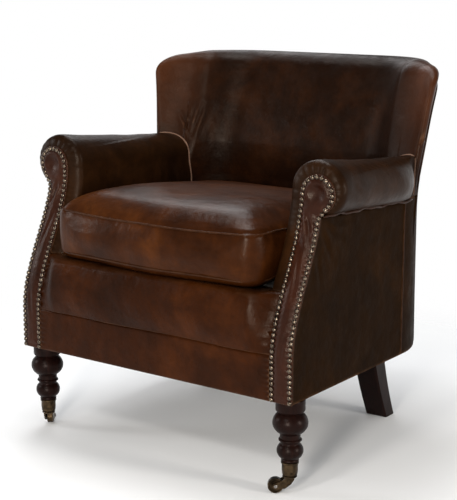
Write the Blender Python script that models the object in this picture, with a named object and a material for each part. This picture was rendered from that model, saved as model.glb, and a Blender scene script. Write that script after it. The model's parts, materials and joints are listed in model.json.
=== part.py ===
"""Leather club chair with scroll arms, a curved back, turned front legs and cup castors.

Frame: metres, +Z up, floor at z = 0. The chair faces -Y, the sitter's left is +X, and the
origin is on the floor at the middle of the chair's width and depth.
"""
import math

import bmesh
import bpy
from mathutils import Matrix, Vector

for old in list(bpy.context.scene.objects):
    bpy.data.objects.remove(old, do_unlink=True)

# Overall
DEPTH = 0.700
BODY_HALF_WIDTH = 0.340
BASE_BOTTOM_Z = 0.186
CREST_Z = 0.783
GAP = 0.0003

# Front and facings
CUSHION_OVERHANG = 0.026
FRONT_Y = -DEPTH / 2 + CUSHION_OVERHANG
FACING_SETBACK = 0.093
FACING_CURVE_LOW_Z = 0.270
FACING_CURVE_HIGH_Z = 0.560
FACING_WIDTH = 0.048
FACING_THICKNESS = 0.005
FACING_SEAT_DEPTH = 0.001
SCROLL_INSET = 0.009
SCROLL_Z = 0.565
SCROLL_FACING_RADIUS = 0.0375

# Arms
ARM_DEPTH = 0.078
ARM_WALL_TOP_Z = 0.520
ARM_DROP_BLEND = 0.110
ROLL_INSET = 0.0155
ROLL_Z = 0.572
ROLL_HALF_WIDTH = 0.0595
ROLL_HALF_HEIGHT = 0.056
ROLL_END_ANGLE = math.radians(-50)
ROLL_TUCK_STAND = 0.005
ROLL_TUCK_Z = 0.5295
ROLL_TOP_SLOPE = 0.094
ROLL_TUCK_SLOPE = 0.045
ROLL_REAR_INSET = 0.0025
ROLL_EDGE_RADIUS = 0.016
ROLL_TAPER_RUN = 0.1225
ROLL_TAPER_CLEARANCE = 0.0075
ARM_REACH = 0.070
ARM_END_GAP = 0.0012
ROLL_REACH = 0.022
ARM_RAIL_CLEARANCE = 0.0012

# Back
BACK_CORNER_RADIUS = 0.180
BACK_NARROWING = 0.007
BACK_LEAN = 0.300
WING_LEAN = 0.130
WING_FLARE = 0.140
WING_FLARE_RUN = 0.100
LEAN_START_Z = 0.520
LEAN_BLEND = 0.100
BACK_THICKNESS = 0.062
BACK_TOP_THICKNESS = 0.072
BACK_BELLY = 0.012
BACK_LAYER = 0.028
WING_SKIN = 0.010
WING_TIP_THICKNESS = 0.024
WING_TAPER_RUN = 0.085
WING_FRONT_BEHIND_CORNER = 0.0228
WING_STRAIGHT = 0.045
WING_JOIN_ANGLE = math.radians(15)
WING_EDGE_RADIUS = 0.014
WING_CORNER_RADIUS = 0.037
WING_CREST_DROP = 0.018
WING_CREST_RUN = 0.105
WRAP_WIDTH = 0.0245
WRAP_GAP = 0.0012
SKIRT_STATION = 0.052
SKIRT_LAP = 0.015
CUTTER_REACH = 0.025
HOOD_HEIGHT = 0.040
HOOD_GAP = 0.0010
SIDE_SEAM_SETBACK = 0.0335
PANEL_THICKNESS = 0.006

# Timber
FRAME_WIDTH = 0.031
FRAME_INSET = 0.0065
RAIL_THICKNESS = 0.022
RAIL_TOP_Z = 0.310
POST_SETBACK = 0.0665
POST_HEAD_DEPTH = 0.030
BACK_TIMBER_IN = 0.0078
BACK_TIMBER_OUT = 0.0322
CREST_RAIL_HEIGHT = 0.055
CREST_RAIL_GAP = 0.0009
POST_STATION_LOW = -0.028
POST_STATION_HIGH = 0.050
POST_STATION_END = 0.108
TACKING_RAIL_LOW_Z = 0.400
TACKING_RAIL_HIGH_Z = 0.445
ARM_RAIL_HEIGHT = 0.045
ARM_CAVITY_TOP_Z = 0.545
BLOCK_HEIGHT = 0.045
FRONT_BLOCK_LEG = 0.045

# Seat
DECK_BOTTOM_Z = 0.318
DECK_TOP_Z = 0.386
LIP_SEAM_Z = 0.275
LIP_BULGE = 0.012
LIP_DEPTH = 0.062
WEB_WIDTH = 0.050
WEB_THICKNESS = 0.0012
WEBS_LONG = 5
WEBS_CROSS = 4
CROSS_WEB_FRONT_SETBACK = 0.109
CROSS_WEB_REAR_SETBACK = 0.047
LONG_WEB_INSET = 0.160
CUSHION_SIDE_GAP = 0.0015
CUSHION_SEAM_LOW_Z = 0.394
CUSHION_SEAM_HIGH_Z = 0.500
CUSHION_CROWN_Z = 0.530
CUSHION_CORNER_RADIUS = 0.035
CUSHION_BOW = 0.026
CUSHION_BULGE = 0.006
DUST_COVER_THICKNESS = 0.001
WELT_RADIUS = 0.0022
WELT_CLEARANCE = 0.0010

# Legs
FRONT_LEG_INSET = 0.027
FRONT_LEG_SETBACK = 0.0395
LEG_COLLAR_RADIUS = 0.0283
LEG_PIN_RADIUS = 0.008
LEG_PIN_LENGTH = 0.034
LEG_TIP_RADIUS = 0.0130
LEG_TIP_Z = 0.0385
REAR_LEG_INSET = 0.117
REAR_LEG_TOP_SETBACK = 0.1287
REAR_LEG_RAKE = 0.0645
REAR_LEG_TOP_WIDTH = 0.054
REAR_LEG_FOOT_WIDTH = 0.052
REAR_LEG_TOP_DEPTH = 0.046
REAR_LEG_FOOT_DEPTH = 0.036
REAR_LEG_SWEEP = 0.006

# Castors
CUP_WALL = 0.0022
CUP_FLOOR = 0.003
CUP_TOP_Z = 0.063
CASTOR_TRAIL = 0.027
WHEEL_RADIUS = 0.015
WHEEL_WIDTH = 0.0130
WHEEL_SIDE_GAP = 0.0006
AXLE_RADIUS = 0.0022
AXLE_CLEARANCE = 0.0004
RIVET_RADIUS = 0.0034
RIVET_HEIGHT = 0.0012
HORN_PLATE_RADIUS = 0.0140
HORN_PLATE_THICKNESS = 0.0030
HORN_CHEEK_THICKNESS = 0.0028
HORN_BOSS_RADIUS = 0.0058
SWIVEL_GAP = 0.0006
SWIVEL_PIN_RADIUS = 0.0030
SWIVEL_PIN_CLEARANCE = 0.0004
SWIVEL_HEAD_RADIUS = 0.0052
SWIVEL_HEAD_HEIGHT = 0.0020
CASTOR_ANGLE = {"left": math.radians(216.3), "right": math.radians(126.3)}

SIDES = {"left": 1, "right": -1}
SMOOTH_ANGLE = math.radians(35)
BEND_LIMIT = math.radians(0.05)


def material(name, colour, roughness, metallic=0.0):
    made = bpy.data.materials.new(name)
    made.use_nodes = True
    shader = made.node_tree.nodes["Principled BSDF"]
    shader.inputs["Base Color"].default_value = (*colour, 1.0)
    shader.inputs["Roughness"].default_value = roughness
    shader.inputs["Metallic"].default_value = metallic
    made.diffuse_color = (*colour, 1.0)
    return made


LEATHER = material("brown_leather", (0.060, 0.020, 0.008), 0.42)
WELT = material("pale_welt", (0.200, 0.095, 0.045), 0.50)
MAHOGANY = material("dark_mahogany", (0.022, 0.006, 0.004), 0.30)
BEECH = material("beech_frame", (0.480, 0.300, 0.150), 0.60)
BRASS = material("aged_brass", (0.120, 0.085, 0.045), 0.40, 1.0)
STEEL = material("pin_steel", (0.250, 0.250, 0.250), 0.35, 1.0)
JUTE = material("jute_webbing", (0.330, 0.230, 0.120), 0.90)
FELT = material("deck_felt", (0.050, 0.045, 0.040), 0.95)
CAMBRIC = material("black_cambric", (0.012, 0.012, 0.012), 0.95)


def solid(name, points, faces, finish, smooth=True):
    """Make one object from points and faces, with its faces turned outward."""
    mesh = bpy.data.meshes.new(name)
    mesh.from_pydata([tuple(p) for p in points], [], faces)
    work = bmesh.new()
    work.from_mesh(mesh)
    bmesh.ops.recalc_face_normals(work, faces=work.faces)
    bmesh.ops.connect_verts_nonplanar(work, angle_limit=BEND_LIMIT, faces=work.faces)
    work.to_mesh(mesh)
    work.free()
    if smooth:
        mesh.shade_smooth()
        mesh.set_sharp_from_angle(angle=SMOOTH_ANGLE)
    mesh.materials.append(finish)
    made = bpy.data.objects.new(name, mesh)
    bpy.context.scene.collection.objects.link(made)
    return made


def loft(name, rings, finish, smooth=True, strip_caps=False):
    """Bridge closed rings of equal length and close both ends.

    With strip_caps a ring's first half is matched with its second half read backwards, so
    that an end that isn't flat is closed by a strip of four-sided faces.
    """
    count = len(rings[0])
    points = [p for ring in rings for p in ring]
    faces = []
    for row in range(len(rings) - 1):
        for i in range(count):
            j = (i + 1) % count
            low = row * count
            high = low + count
            faces.append((low + i, low + j, high + j, high + i))
    for start in (0, (len(rings) - 1) * count):
        if strip_caps:
            for i in range((count - 1) // 2):
                corners = [i, i + 1, count - 2 - i, count - 1 - i]
                faces.append(tuple(dict.fromkeys(start + c for c in corners)))
        else:
            faces.append(tuple(range(start, start + count)))
    return solid(name, points, faces, finish, smooth)


def slab(name, front, back, finish, smooth=True):
    """Close the space between two grids of points, each a list of equal rows."""
    rings = [list(a) + list(reversed(b)) for a, b in zip(front, back)]
    return loft(name, rings, finish, smooth, strip_caps=True)


def box(name, low, high, finish):
    (x0, y0, z0), (x1, y1, z1) = low, high
    rings = [[(x0, y0, z), (x1, y0, z), (x1, y1, z), (x0, y1, z)] for z in (z0, z1)]
    return loft(name, rings, finish, smooth=False)


def prism(name, outline, z0, z1, finish, smooth=False):
    return loft(name, [[(x, y, z) for x, y in outline] for z in (z0, z1)], finish, smooth)


def revolve(name, profile, finish, steps=24, turn=0.0):
    """Turn a profile of (radius, z) pairs about the object's own Z axis."""
    rings = []
    for radius, z in profile:
        ring = []
        for i in range(steps):
            angle = turn + 2 * math.pi * i / steps
            ring.append((radius * math.cos(angle), radius * math.sin(angle), z))
        rings.append(ring)
    return loft(name, rings, finish)


def tube(name, path, radius, finish, sides=8):
    """Sweep a round section along a path of points."""
    rings = []
    across = None
    for i, point in enumerate(path):
        ahead = (path[min(i + 1, len(path) - 1)] - path[max(i - 1, 0)]).normalized()
        if across is None:
            across = ahead.orthogonal().normalized()
        across = (across - ahead * across.dot(ahead)).normalized()
        other = ahead.cross(across)
        ring = []
        for k in range(sides):
            angle = 2 * math.pi * k / sides
            ring.append(point + radius * (across * math.cos(angle) + other * math.sin(angle)))
        rings.append(ring)
    return loft(name, rings, finish)


def as_cutter(made):
    made.hide_render = True
    made.display_type = "WIRE"
    return made


def boolean(target, tool, operation="DIFFERENCE"):
    change = target.modifiers.new(f"{operation.lower()}_{tool.name}", "BOOLEAN")
    change.operation = operation
    change.solver = "EXACT"
    change.object = tool
    return target


def spread(low, high, count):
    return [low + (high - low) * i / (count - 1) for i in range(count)]


def step(value, low, high):
    """Rise smoothly from 0 at low to 1 at high."""
    t = min(1.0, max(0.0, (value - low) / (high - low)))
    return t * t * (3 - 2 * t)


def facing_y(z):
    """Front of an arm facing at height z: upright below, set back under the scroll."""
    return FRONT_Y + FACING_SETBACK * step(z, FACING_CURVE_LOW_Z, FACING_CURVE_HIGH_Z)


RAIL_FRONT_Y = facing_y(RAIL_TOP_Z) + FACING_THICKNESS + 3 * GAP
POST_REAR_Y = FRONT_Y + POST_SETBACK
LIP_REAR_Y = FRONT_Y + LIP_DEPTH
FACING_INNER_X = BODY_HALF_WIDTH - FACING_WIDTH
SCROLL_X = BODY_HALF_WIDTH - SCROLL_INSET
ARM_INNER_X = BODY_HALF_WIDTH - ARM_DEPTH
ROLL_X = BODY_HALF_WIDTH - ROLL_INSET
ROLL_TUCK_X = BODY_HALF_WIDTH + ROLL_TUCK_STAND
ROLL_KEEP_X = BODY_HALF_WIDTH - ROLL_REAR_INSET
FRAME_X1 = BODY_HALF_WIDTH - FRAME_INSET
FRAME_X0 = FRAME_X1 - FRAME_WIDTH
FRONT_LEG_X = BODY_HALF_WIDTH - FRONT_LEG_INSET
FRONT_LEG_Y = FRONT_Y + FRONT_LEG_SETBACK
REAR_LEG_X = BODY_HALF_WIDTH - REAR_LEG_INSET


# The back follows a horseshoe in plan. A station is the distance along its outer line from
# a wing's front edge, and inset is the distance inward from that line.

def lean(z, slope):
    rise = z - LEAN_START_Z + LEAN_BLEND / 2
    if rise <= 0:
        return 0.0
    if rise < LEAN_BLEND:
        return slope * rise * rise / (2 * LEAN_BLEND)
    return slope * (rise - LEAN_BLEND / 2)


def thickness(z, station=WING_TAPER_RUN):
    """Depth of the padding, which narrows towards a wing's front edge."""
    full = BACK_THICKNESS + lean(z, BACK_LEAN) - lean(z, WING_LEAN)
    full = min(full, BACK_TOP_THICKNESS)
    return WING_TIP_THICKNESS + (full - WING_TIP_THICKNESS) * step(station, 0, WING_TAPER_RUN)


def crest_section(top, station=WING_TAPER_RUN):
    """Half thickness of the rounded top edge, and the height where its rounding starts."""
    deep = thickness(top - BACK_THICKNESS * 0.65, station) / 2
    return deep, top - deep


WELT_STAND = 2 * WELT_RADIUS + WELT_CLEARANCE
LEAN_BREAKS = spread(LEAN_START_Z - LEAN_BLEND / 2, LEAN_START_Z + LEAN_BLEND / 2, 5)
UPPER_BREAKS = spread(LEAN_BREAKS[-1], CREST_Z - WING_CREST_DROP - 2.4 * WING_CORNER_RADIUS, 4)[1:]
BACK_Y = DEPTH / 2 - WELT_STAND - lean(CREST_Z - HOOD_HEIGHT, BACK_LEAN)
CORNER_Y = BACK_Y - BACK_CORNER_RADIUS
WING_FRONT_Y = CORNER_Y + WING_FRONT_BEHIND_CORNER
SIDE_SEAM_Y = WING_FRONT_Y - SIDE_SEAM_SETBACK
ROLL_TAPER_END_Y = WING_FRONT_Y - ROLL_TAPER_CLEARANCE
ROLL_TAPER_START_Y = ROLL_TAPER_END_Y - ROLL_TAPER_RUN
ARM_REAR_Y = WING_FRONT_Y + ARM_REACH
ROLL_REAR_Y = WING_FRONT_Y + ROLL_REACH
REAR_LEG_TOP_Y = BACK_Y - REAR_LEG_TOP_SETBACK
REAR_LEG_FOOT_Y = REAR_LEG_TOP_Y + REAR_LEG_RAKE
WING_SLOPE = (BACK_CORNER_RADIUS * math.sin(WING_JOIN_ANGLE) - WING_FRONT_BEHIND_CORNER) / WING_STRAIGHT
ARC_LENGTH = BACK_CORNER_RADIUS * (math.pi / 2 - WING_JOIN_ANGLE)
FLAT_LENGTH = BODY_HALF_WIDTH - BACK_CORNER_RADIUS
HALF_LENGTH = WING_STRAIGHT + ARC_LENGTH + FLAT_LENGTH


def half_width(z):
    return BODY_HALF_WIDTH - BACK_NARROWING * step(z, LEAN_START_Z, LEAN_START_Z + 2 * LEAN_BLEND)


def plan(station, inset, z, side=1):
    """Point on the horseshoe's half at this side, at a station, an inset and a height."""
    corner_x = half_width(z) - BACK_CORNER_RADIUS
    corner_y = CORNER_Y + lean(z, BACK_LEAN)
    reach = BACK_CORNER_RADIUS - inset
    if station < WING_STRAIGHT:
        wing_y = WING_FRONT_Y + lean(z, WING_LEAN)
        join_y = corner_y + BACK_CORNER_RADIUS * math.sin(WING_JOIN_ANGLE)
        if station < 0:
            ahead = max(0.0, 1 + station / SIDE_SEAM_SETBACK)
            wing_y = WING_FRONT_Y + lean(z, WING_LEAN) * ahead + station * WING_SLOPE
            join_y = wing_y
        angle = (wing_y + (join_y - wing_y) * station / WING_STRAIGHT - corner_y) / BACK_CORNER_RADIUS
        if angle < 0:
            x = corner_x + reach
            y = corner_y + angle * BACK_CORNER_RADIUS
        else:
            angle = math.asin(angle)
            x = corner_x + reach * math.cos(angle)
            y = corner_y + reach * math.sin(angle)
    elif station < WING_STRAIGHT + ARC_LENGTH:
        angle = WING_JOIN_ANGLE + (station - WING_STRAIGHT) / BACK_CORNER_RADIUS
        x = corner_x + reach * math.cos(angle)
        y = corner_y + reach * math.sin(angle)
    else:
        past = (station - WING_STRAIGHT - ARC_LENGTH) / FLAT_LENGTH
        x = corner_x * (1 - past)
        y = corner_y + reach
    ahead = 1 - max(0.0, station) / WING_FLARE_RUN
    if ahead > 0:
        x += WING_FLARE * lean(z, 1.0) * ahead ** 1.5
    return Vector((side * x, y, z))


def station_at(y):
    """Station of the point in front of the wing's join that stands at this y at seat height."""
    return (y - WING_FRONT_Y) / WING_SLOPE


def crest_height(station):
    """Top of the back at a station: rounded at the wing's corner, rising to the middle."""
    height = CREST_Z - WING_CREST_DROP * (1 - step(station, 0, WING_CREST_RUN))
    if station < WING_CORNER_RADIUS:
        left = WING_CORNER_RADIUS - station
        height -= WING_CORNER_RADIUS - math.sqrt(max(0.0, WING_CORNER_RADIUS ** 2 - left ** 2))
    return height


def hood_height(station):
    """Seam under the crest, where the inside back's leather ends on the outer side."""
    height = crest_height(station) - HOOD_HEIGHT
    past = station - WRAP_WIDTH
    if past < WING_CORNER_RADIUS:
        left = WING_CORNER_RADIUS - past
        height -= WING_CORNER_RADIUS - math.sqrt(max(0.0, WING_CORNER_RADIUS ** 2 - left ** 2))
    return height


def whole_path(half_stations):
    """Stations of both halves in order, as (side, station) pairs, with one shared middle."""
    left = [(1, s) for s in half_stations]
    right = [(-1, s) for s in reversed(half_stations[:-1])]
    return left + right


def back_body(name, grow=0.0):
    """The padded back: wings, crest and curved inside, with its edges rounded."""
    half = [0.0006, 0.003, 0.007, 0.013, 0.021, 0.034]
    half += spread(WING_STRAIGHT, WING_STRAIGHT + ARC_LENGTH, 8)
    half += [WING_STRAIGHT + ARC_LENGTH + FLAT_LENGTH * f for f in (0.3, 0.65, 1.0)]
    rings = []
    for side, station in whole_path(half):
        edge = min(1.0, station / WING_EDGE_RADIUS)
        fullness = math.sqrt(1 - (1 - edge) ** 2)
        top = crest_height(station)
        deep, shoulder = crest_section(top, station)
        levels = level_rows(DECK_TOP_Z + GAP - grow, shoulder)[:-1]
        outer = [(0.0, z) for z in levels]
        over = []
        for k in range(9):
            turn = math.pi * k / 8
            over.append((deep - deep * math.cos(turn), (deep + grow) * math.sin(turn)))
        belly_fade = step(station, WRAP_WIDTH, WRAP_WIDTH + ARC_LENGTH * 0.6)
        inner = []
        for z in reversed(levels):
            swell = math.sin(math.pi * min(1.0, max(0.0, (z - 0.50) / (0.75 - 0.50))))
            inner.append((thickness(z, station) + BACK_BELLY * swell * belly_fade, z))
        rows = [(inset, z, 0.0) for inset, z in outer]
        rows += [(inset, shoulder, rise) for inset, rise in over]
        rows += [(inset, z, 0.0) for inset, z in inner]
        ring = []
        for inset, z, rise in rows:
            middle = thickness(z, station) / 2
            reach = (inset - middle) * fullness
            reach += math.copysign(grow, reach)
            ring.append(plan(station - grow, middle + reach, z, side) + Vector((0, 0, rise)))
        rings.append(ring)
    return loft(name, rings, LEATHER, strip_caps=True)


def path_slab(name, spans, levels, finish, smooth=True):
    """A wall along the horseshoe.

    spans lists (side, station, outer inset, inner inset), and levels(station) gives the
    heights of one upright row.
    """
    outer = []
    inner = []
    for side, station, inset_out, inset_in in spans:
        heights = levels(station)
        outer.append([plan(station, inset_out, z, side) for z in heights])
        inner.append([plan(station, inset_in, z, side) for z in heights])
    return slab(name, outer, inner, finish, smooth)


def arc_stations(first):
    """Stations of one half from the first one to the middle of the back."""
    fixed = spread(WING_STRAIGHT, WING_STRAIGHT + ARC_LENGTH, 8) + [HALF_LENGTH]
    return [first] + [s for s in fixed if s > first + 0.004]


def level_rows(low, top):
    """Heights of one upright row, with the same breaks for every wall of the horseshoe."""
    return [low] + [z for z in LEAN_BREAKS + UPPER_BREAKS if low < z < top - GAP] + [top]


# Arms. The roll drops towards the back, its top more than its underside.

ROLL_TOP_Z = ROLL_Z + ROLL_HALF_HEIGHT
ARM_FRONT_Y = FRONT_Y + FACING_SETBACK


def tuck_z(y):
    """Height of the seam under the roll."""
    return ROLL_TUCK_Z - ROLL_TUCK_SLOPE * max(0.0, min(y, SIDE_SEAM_Y) - ARM_FRONT_Y)


def arm_z(z, y):
    """Height at y of what stands at height z at the front of the arm."""
    run = max(0.0, y - ARM_FRONT_Y)
    tall = ROLL_TOP_Z - ROLL_TUCK_Z
    scale = 1 - (ROLL_TOP_SLOPE - ROLL_TUCK_SLOPE) * run / tall
    drop = tuck_z(y) - ROLL_TUCK_Z + (z - ROLL_TUCK_Z) * (scale - 1)
    return z + drop * step(z, ARM_WALL_TOP_Z - ARM_DROP_BLEND, ARM_WALL_TOP_Z)


def arm_section():
    """Matched outer and inner points, (x, z), of the cover that hangs over the arm rail."""
    x_in = FRAME_X0 - GAP
    x_out = FRAME_X1 + 10 * GAP
    low = DECK_TOP_Z + GAP
    top = ARM_CAVITY_TOP_Z
    below = top - ARM_WALL_TOP_Z
    pairs = [((ARM_INNER_X, z), (x_in, z)) for z in spread(low, ARM_WALL_TOP_Z - below, 4)]
    pairs.append(((ARM_INNER_X, ARM_WALL_TOP_Z), (x_in, ARM_WALL_TOP_Z - below / 3)))
    roll = []
    for degrees in (180, 162, 144, 126, 108, 90, 72, 54, 36, 18, 0, -18, -35):
        angle = math.radians(degrees)
        roll.append((ROLL_X + ROLL_HALF_WIDTH * math.cos(angle),
                     ROLL_Z + ROLL_HALF_HEIGHT * math.sin(angle)))
    roll.append((ROLL_X + ROLL_HALF_WIDTH * math.cos(ROLL_END_ANGLE),
                 ROLL_Z + ROLL_HALF_HEIGHT * math.sin(ROLL_END_ANGLE)))
    roll.append((ROLL_TUCK_X, ROLL_TUCK_Z))
    core = [(x_in, z) for z in spread(ARM_WALL_TOP_Z + below / 8, top, 3)]
    core += [(x, top) for x in spread(x_in, x_out, 7)[1:]]
    core += [(x_out, z) for z in spread(top, ROLL_TUCK_Z, 7)[1:]]
    return pairs + list(zip(roll, core))


def arm_cover(name, side):
    """Padded cover of one arm: inner wall and roll, open below for the arm's timber."""
    section = arm_section()
    steps = []
    for turn in (0, 30, 60, 90):
        angle = math.radians(turn)
        steps.append((ROLL_EDGE_RADIUS * (1 - math.sin(angle)), ROLL_EDGE_RADIUS * (1 - math.cos(angle))))
    rings = []
    for inset, back in steps:
        rings.append(arm_ring(section, inset, side, back, 0.0))
    for share in (0.25, 0.5, 0.65, 0.75, 0.83, 0.91, 1.0):
        rings.append(arm_ring(section, 0.0, side, ROLL_EDGE_RADIUS, share))
    return loft(name, rings, LEATHER, strip_caps=True)


def arm_ring(section, inset, side, back, share):
    """One ring of an arm cover, at a share of the way from its front edge to its rear."""
    outer = []
    inner = []
    for (x, z), (core_x, core_z) in section:
        away = math.hypot(core_x - x, core_z - z)
        part = min(inset, 0.6 * away) / away
        x += (core_x - x) * part
        z += (core_z - z) * part
        for px, pz, row in ((x, z, outer), (core_x, core_z, inner)):
            start = facing_y(pz) + FACING_THICKNESS - FACING_SEAT_DEPTH + back
            rear = ARM_REAR_Y - (ARM_REAR_Y - ROLL_REAR_Y) * step(px, FACING_INNER_X, FRAME_X1)
            y = start + (rear - start) * share
            if px > ROLL_KEEP_X:
                past = min(0.999, max(0.0, (y - ROLL_TAPER_START_Y) / ROLL_TAPER_RUN))
                px = ROLL_KEEP_X + (px - ROLL_KEEP_X) * (1 - past * past) ** 0.8
            row.append(Vector((side * px, y, arm_z(pz, y))))
    return outer + list(reversed(inner))


def facing(name, side, grow=0.0):
    """Upholstered board on the front of an arm: a strip below, a scroll on top."""
    radius = SCROLL_FACING_RADIUS + grow
    inner_x = FACING_INNER_X - grow
    outer_x = BODY_HALF_WIDTH + grow
    neck = SCROLL_Z - math.sqrt(radius ** 2 - (outer_x - SCROLL_X) ** 2)
    heights = spread(BASE_BOTTOM_Z - grow, FACING_CURVE_LOW_Z, 3)[:-1]
    heights += spread(FACING_CURVE_LOW_Z, neck, 11)
    start = math.asin((neck - SCROLL_Z) / radius)
    heights += [SCROLL_Z + radius * math.sin(a) for a in spread(start, math.radians(82), 12)[1:]]
    front = []
    rear = []
    for z in heights:
        bow = math.sqrt(max(0.0, radius ** 2 - (z - SCROLL_Z) ** 2))
        left = inner_x if z < SCROLL_Z else max(inner_x, SCROLL_X - bow)
        right = outer_x if z <= neck else SCROLL_X + bow
        fore = facing_y(z) - 10 * grow
        back = facing_y(z) + FACING_THICKNESS + grow
        front.append([(side * left, fore, z), (side * right, fore, z)])
        rear.append([(side * left, back, z), (side * right, back, z)])
    return slab(name, front, rear, LEATHER)


def outside_arm(name, side):
    """Flat leather side below the roll, from the facing to the seam at the back."""
    outer = []
    inner = []
    for share_z in spread(0, 1, 9):
        z_guess = BASE_BOTTOM_Z + (ROLL_TUCK_Z - BASE_BOTTOM_Z) * share_z
        start = facing_y(z_guess) + FACING_THICKNESS - FACING_SEAT_DEPTH
        row_out = []
        row_in = []
        for y in spread(start, SIDE_SEAM_Y - GAP, 4):
            z = BASE_BOTTOM_Z + (tuck_z(y) - GAP - BASE_BOTTOM_Z) * share_z
            row_out.append((side * BODY_HALF_WIDTH, y, z))
            row_in.append((side * (BODY_HALF_WIDTH - PANEL_THICKNESS), y, z))
        outer.append(row_out)
        inner.append(row_in)
    return slab(name, outer, inner, LEATHER)


def arm_post(name, side):
    """Timber behind a facing, sawn to its curve, with a hole below for the leg's pin."""
    rings = []
    head_y = facing_y(ARM_CAVITY_TOP_Z) + FACING_THICKNESS + GAP + POST_HEAD_DEPTH
    top = arm_z(ARM_CAVITY_TOP_Z, head_y) - GAP
    for z in [BASE_BOTTOM_Z + GAP] + spread(FACING_CURVE_LOW_Z, top, 9):
        y = facing_y(z) + FACING_THICKNESS - FACING_SEAT_DEPTH
        rear = max(POST_REAR_Y, facing_y(z) + FACING_THICKNESS + GAP + POST_HEAD_DEPTH)
        rings.append([(side * x, py, z) for x, py in
                      ((FRAME_X0, y), (FRAME_X1, y), (FRAME_X1, rear), (FRAME_X0, rear))])
    post = loft(name, rings, BEECH, smooth=False)
    boolean(post, seats[side])
    return boolean(post, pin_hole(f"{name}_pin_hole", side * FRONT_LEG_X, FRONT_LEG_Y))


def pin_hole(name, x, y):
    rows = [(LEG_PIN_RADIUS + GAP, BASE_BOTTOM_Z - 0.01),
            (LEG_PIN_RADIUS + GAP, BASE_BOTTOM_Z + LEG_PIN_LENGTH + 2 * GAP)]
    tool = revolve(name, rows, BEECH, steps=16)
    tool.location = (x, y, 0)
    return as_cutter(tool)


def horseshoe_wall(name, inset_out, inset_in, low, top, first, finish, smooth=True):
    """A wall of even height along the whole horseshoe."""
    spans = [(side, s, inset_out, inset_in) for side, s in whole_path(arc_stations(first))]
    return path_slab(name, spans, lambda station: spread(low, top, 2), finish, smooth)


def inside_back():
    """Padded inside back: a hood over wings and crest, hollow behind for the timber."""
    body = back_body("inside_back")
    layer_face = BACK_THICKNESS - BACK_LAYER

    def depth(station):
        return min(layer_face, thickness(0, station) - WING_SKIN)

    rim = [WRAP_WIDTH + WING_CORNER_RADIUS * (1 - math.cos(math.radians(a))) for a in (0, 30, 60, 90)]
    half = rim + arc_stations(rim[-1])[1:]
    spans = [(side, s, -CUTTER_REACH, depth(s)) for side, s in whole_path(half)]

    def hollow_rows(station):
        return level_rows(SKIRT_Z - SKIRT_LAP, hood_height(station))

    hollow = path_slab("cut_behind_back", spans, hollow_rows, LEATHER)
    full = BACK_THICKNESS + CUTTER_REACH
    skin = layer_face - 2 * GAP
    ahead = station_at(SIDE_SEAM_Y - CUTTER_REACH)
    half = [(ahead, full), (0.0, full), (SKIRT_STATION, full), (SKIRT_STATION + 2 * GAP, skin)]
    half += [(s, skin) for s in arc_stations(SKIRT_STATION + 2 * GAP)[1:]]
    spans = [(1, s, -CUTTER_REACH, reach) for s, reach in half]
    spans += [(-1, s, -CUTTER_REACH, reach) for s, reach in reversed(half[:-1])]

    def skirt_rows(station):
        return level_rows(DECK_TOP_Z - CUTTER_REACH, SKIRT_Z)

    skirt = path_slab("cut_below_wings", spans, skirt_rows, LEATHER)
    for tool in (hollow, skirt):
        boolean(body, as_cutter(tool))
    return body


def outside_back():
    """Leather panel round the rear, below the crest and behind the wings."""
    half = [station_at(SIDE_SEAM_Y + GAP), station_at(CORNER_Y), 0.0]
    half += [WRAP_WIDTH + WING_CORNER_RADIUS * (1 - math.cos(math.radians(a))) for a in (0, 30, 60, 90)]
    half += arc_stations(half[-1])[1:]
    spans = [(side, s, 0.0, PANEL_THICKNESS) for side, s in whole_path(half)]

    def rows(station):
        top = hood_height(max(station - WRAP_GAP, WRAP_WIDTH)) - HOOD_GAP
        return level_rows(BASE_BOTTOM_Z, top)

    panel = path_slab("outside_back", spans, rows, LEATHER)
    for name, side in SIDES.items():
        ahead = station_at(SIDE_SEAM_Y - CUTTER_REACH)
        stations = (ahead, station_at(CORNER_Y), 0.0, WRAP_WIDTH + WRAP_GAP)
        reach = [(side, s, -CUTTER_REACH, CUTTER_REACH) for s in stations]
        heights = level_rows(SKIRT_Z - GAP, CREST_Z)
        boolean(panel, as_cutter(path_slab(f"cut_{name}_wrap", reach, lambda station: heights, LEATHER)))
    return panel


def back_post(name, side):
    """Timber stile in the corner of the back, stepped behind the wing's wrap."""
    top = hood_height(WRAP_WIDTH + WING_CORNER_RADIUS) - CREST_RAIL_GAP - CREST_RAIL_HEIGHT - GAP
    step_low = SKIRT_Z - SKIRT_LAP + 4 * GAP
    step_high = SKIRT_Z - 6 * GAP
    heights = [BASE_BOTTOM_Z + GAP, step_low, step_high] + spread(LEAN_START_Z + LEAN_BLEND / 4, top, 4)
    rings = []
    for z in heights:
        start = POST_STATION_LOW if z <= step_low else POST_STATION_HIGH
        stations = spread(start, POST_STATION_END, 7)
        ring = [plan(s, BACK_TIMBER_IN, z, side) for s in stations]
        ring += [plan(s, BACK_TIMBER_OUT, z, side) for s in reversed(stations)]
        rings.append(ring)
    return loft(name, rings, BEECH, smooth=False)


def crest_rail():
    spans = []
    for side, s in whole_path(arc_stations(WRAP_WIDTH + WING_CORNER_RADIUS)):
        spans.append((side, s, BACK_TIMBER_IN, BACK_TIMBER_OUT))

    def rows(station):
        top = hood_height(station) - CREST_RAIL_GAP
        return (top - CREST_RAIL_HEIGHT, top - CREST_RAIL_HEIGHT / 2, top)

    return path_slab("crest_rail", spans, rows, BEECH)


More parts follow.
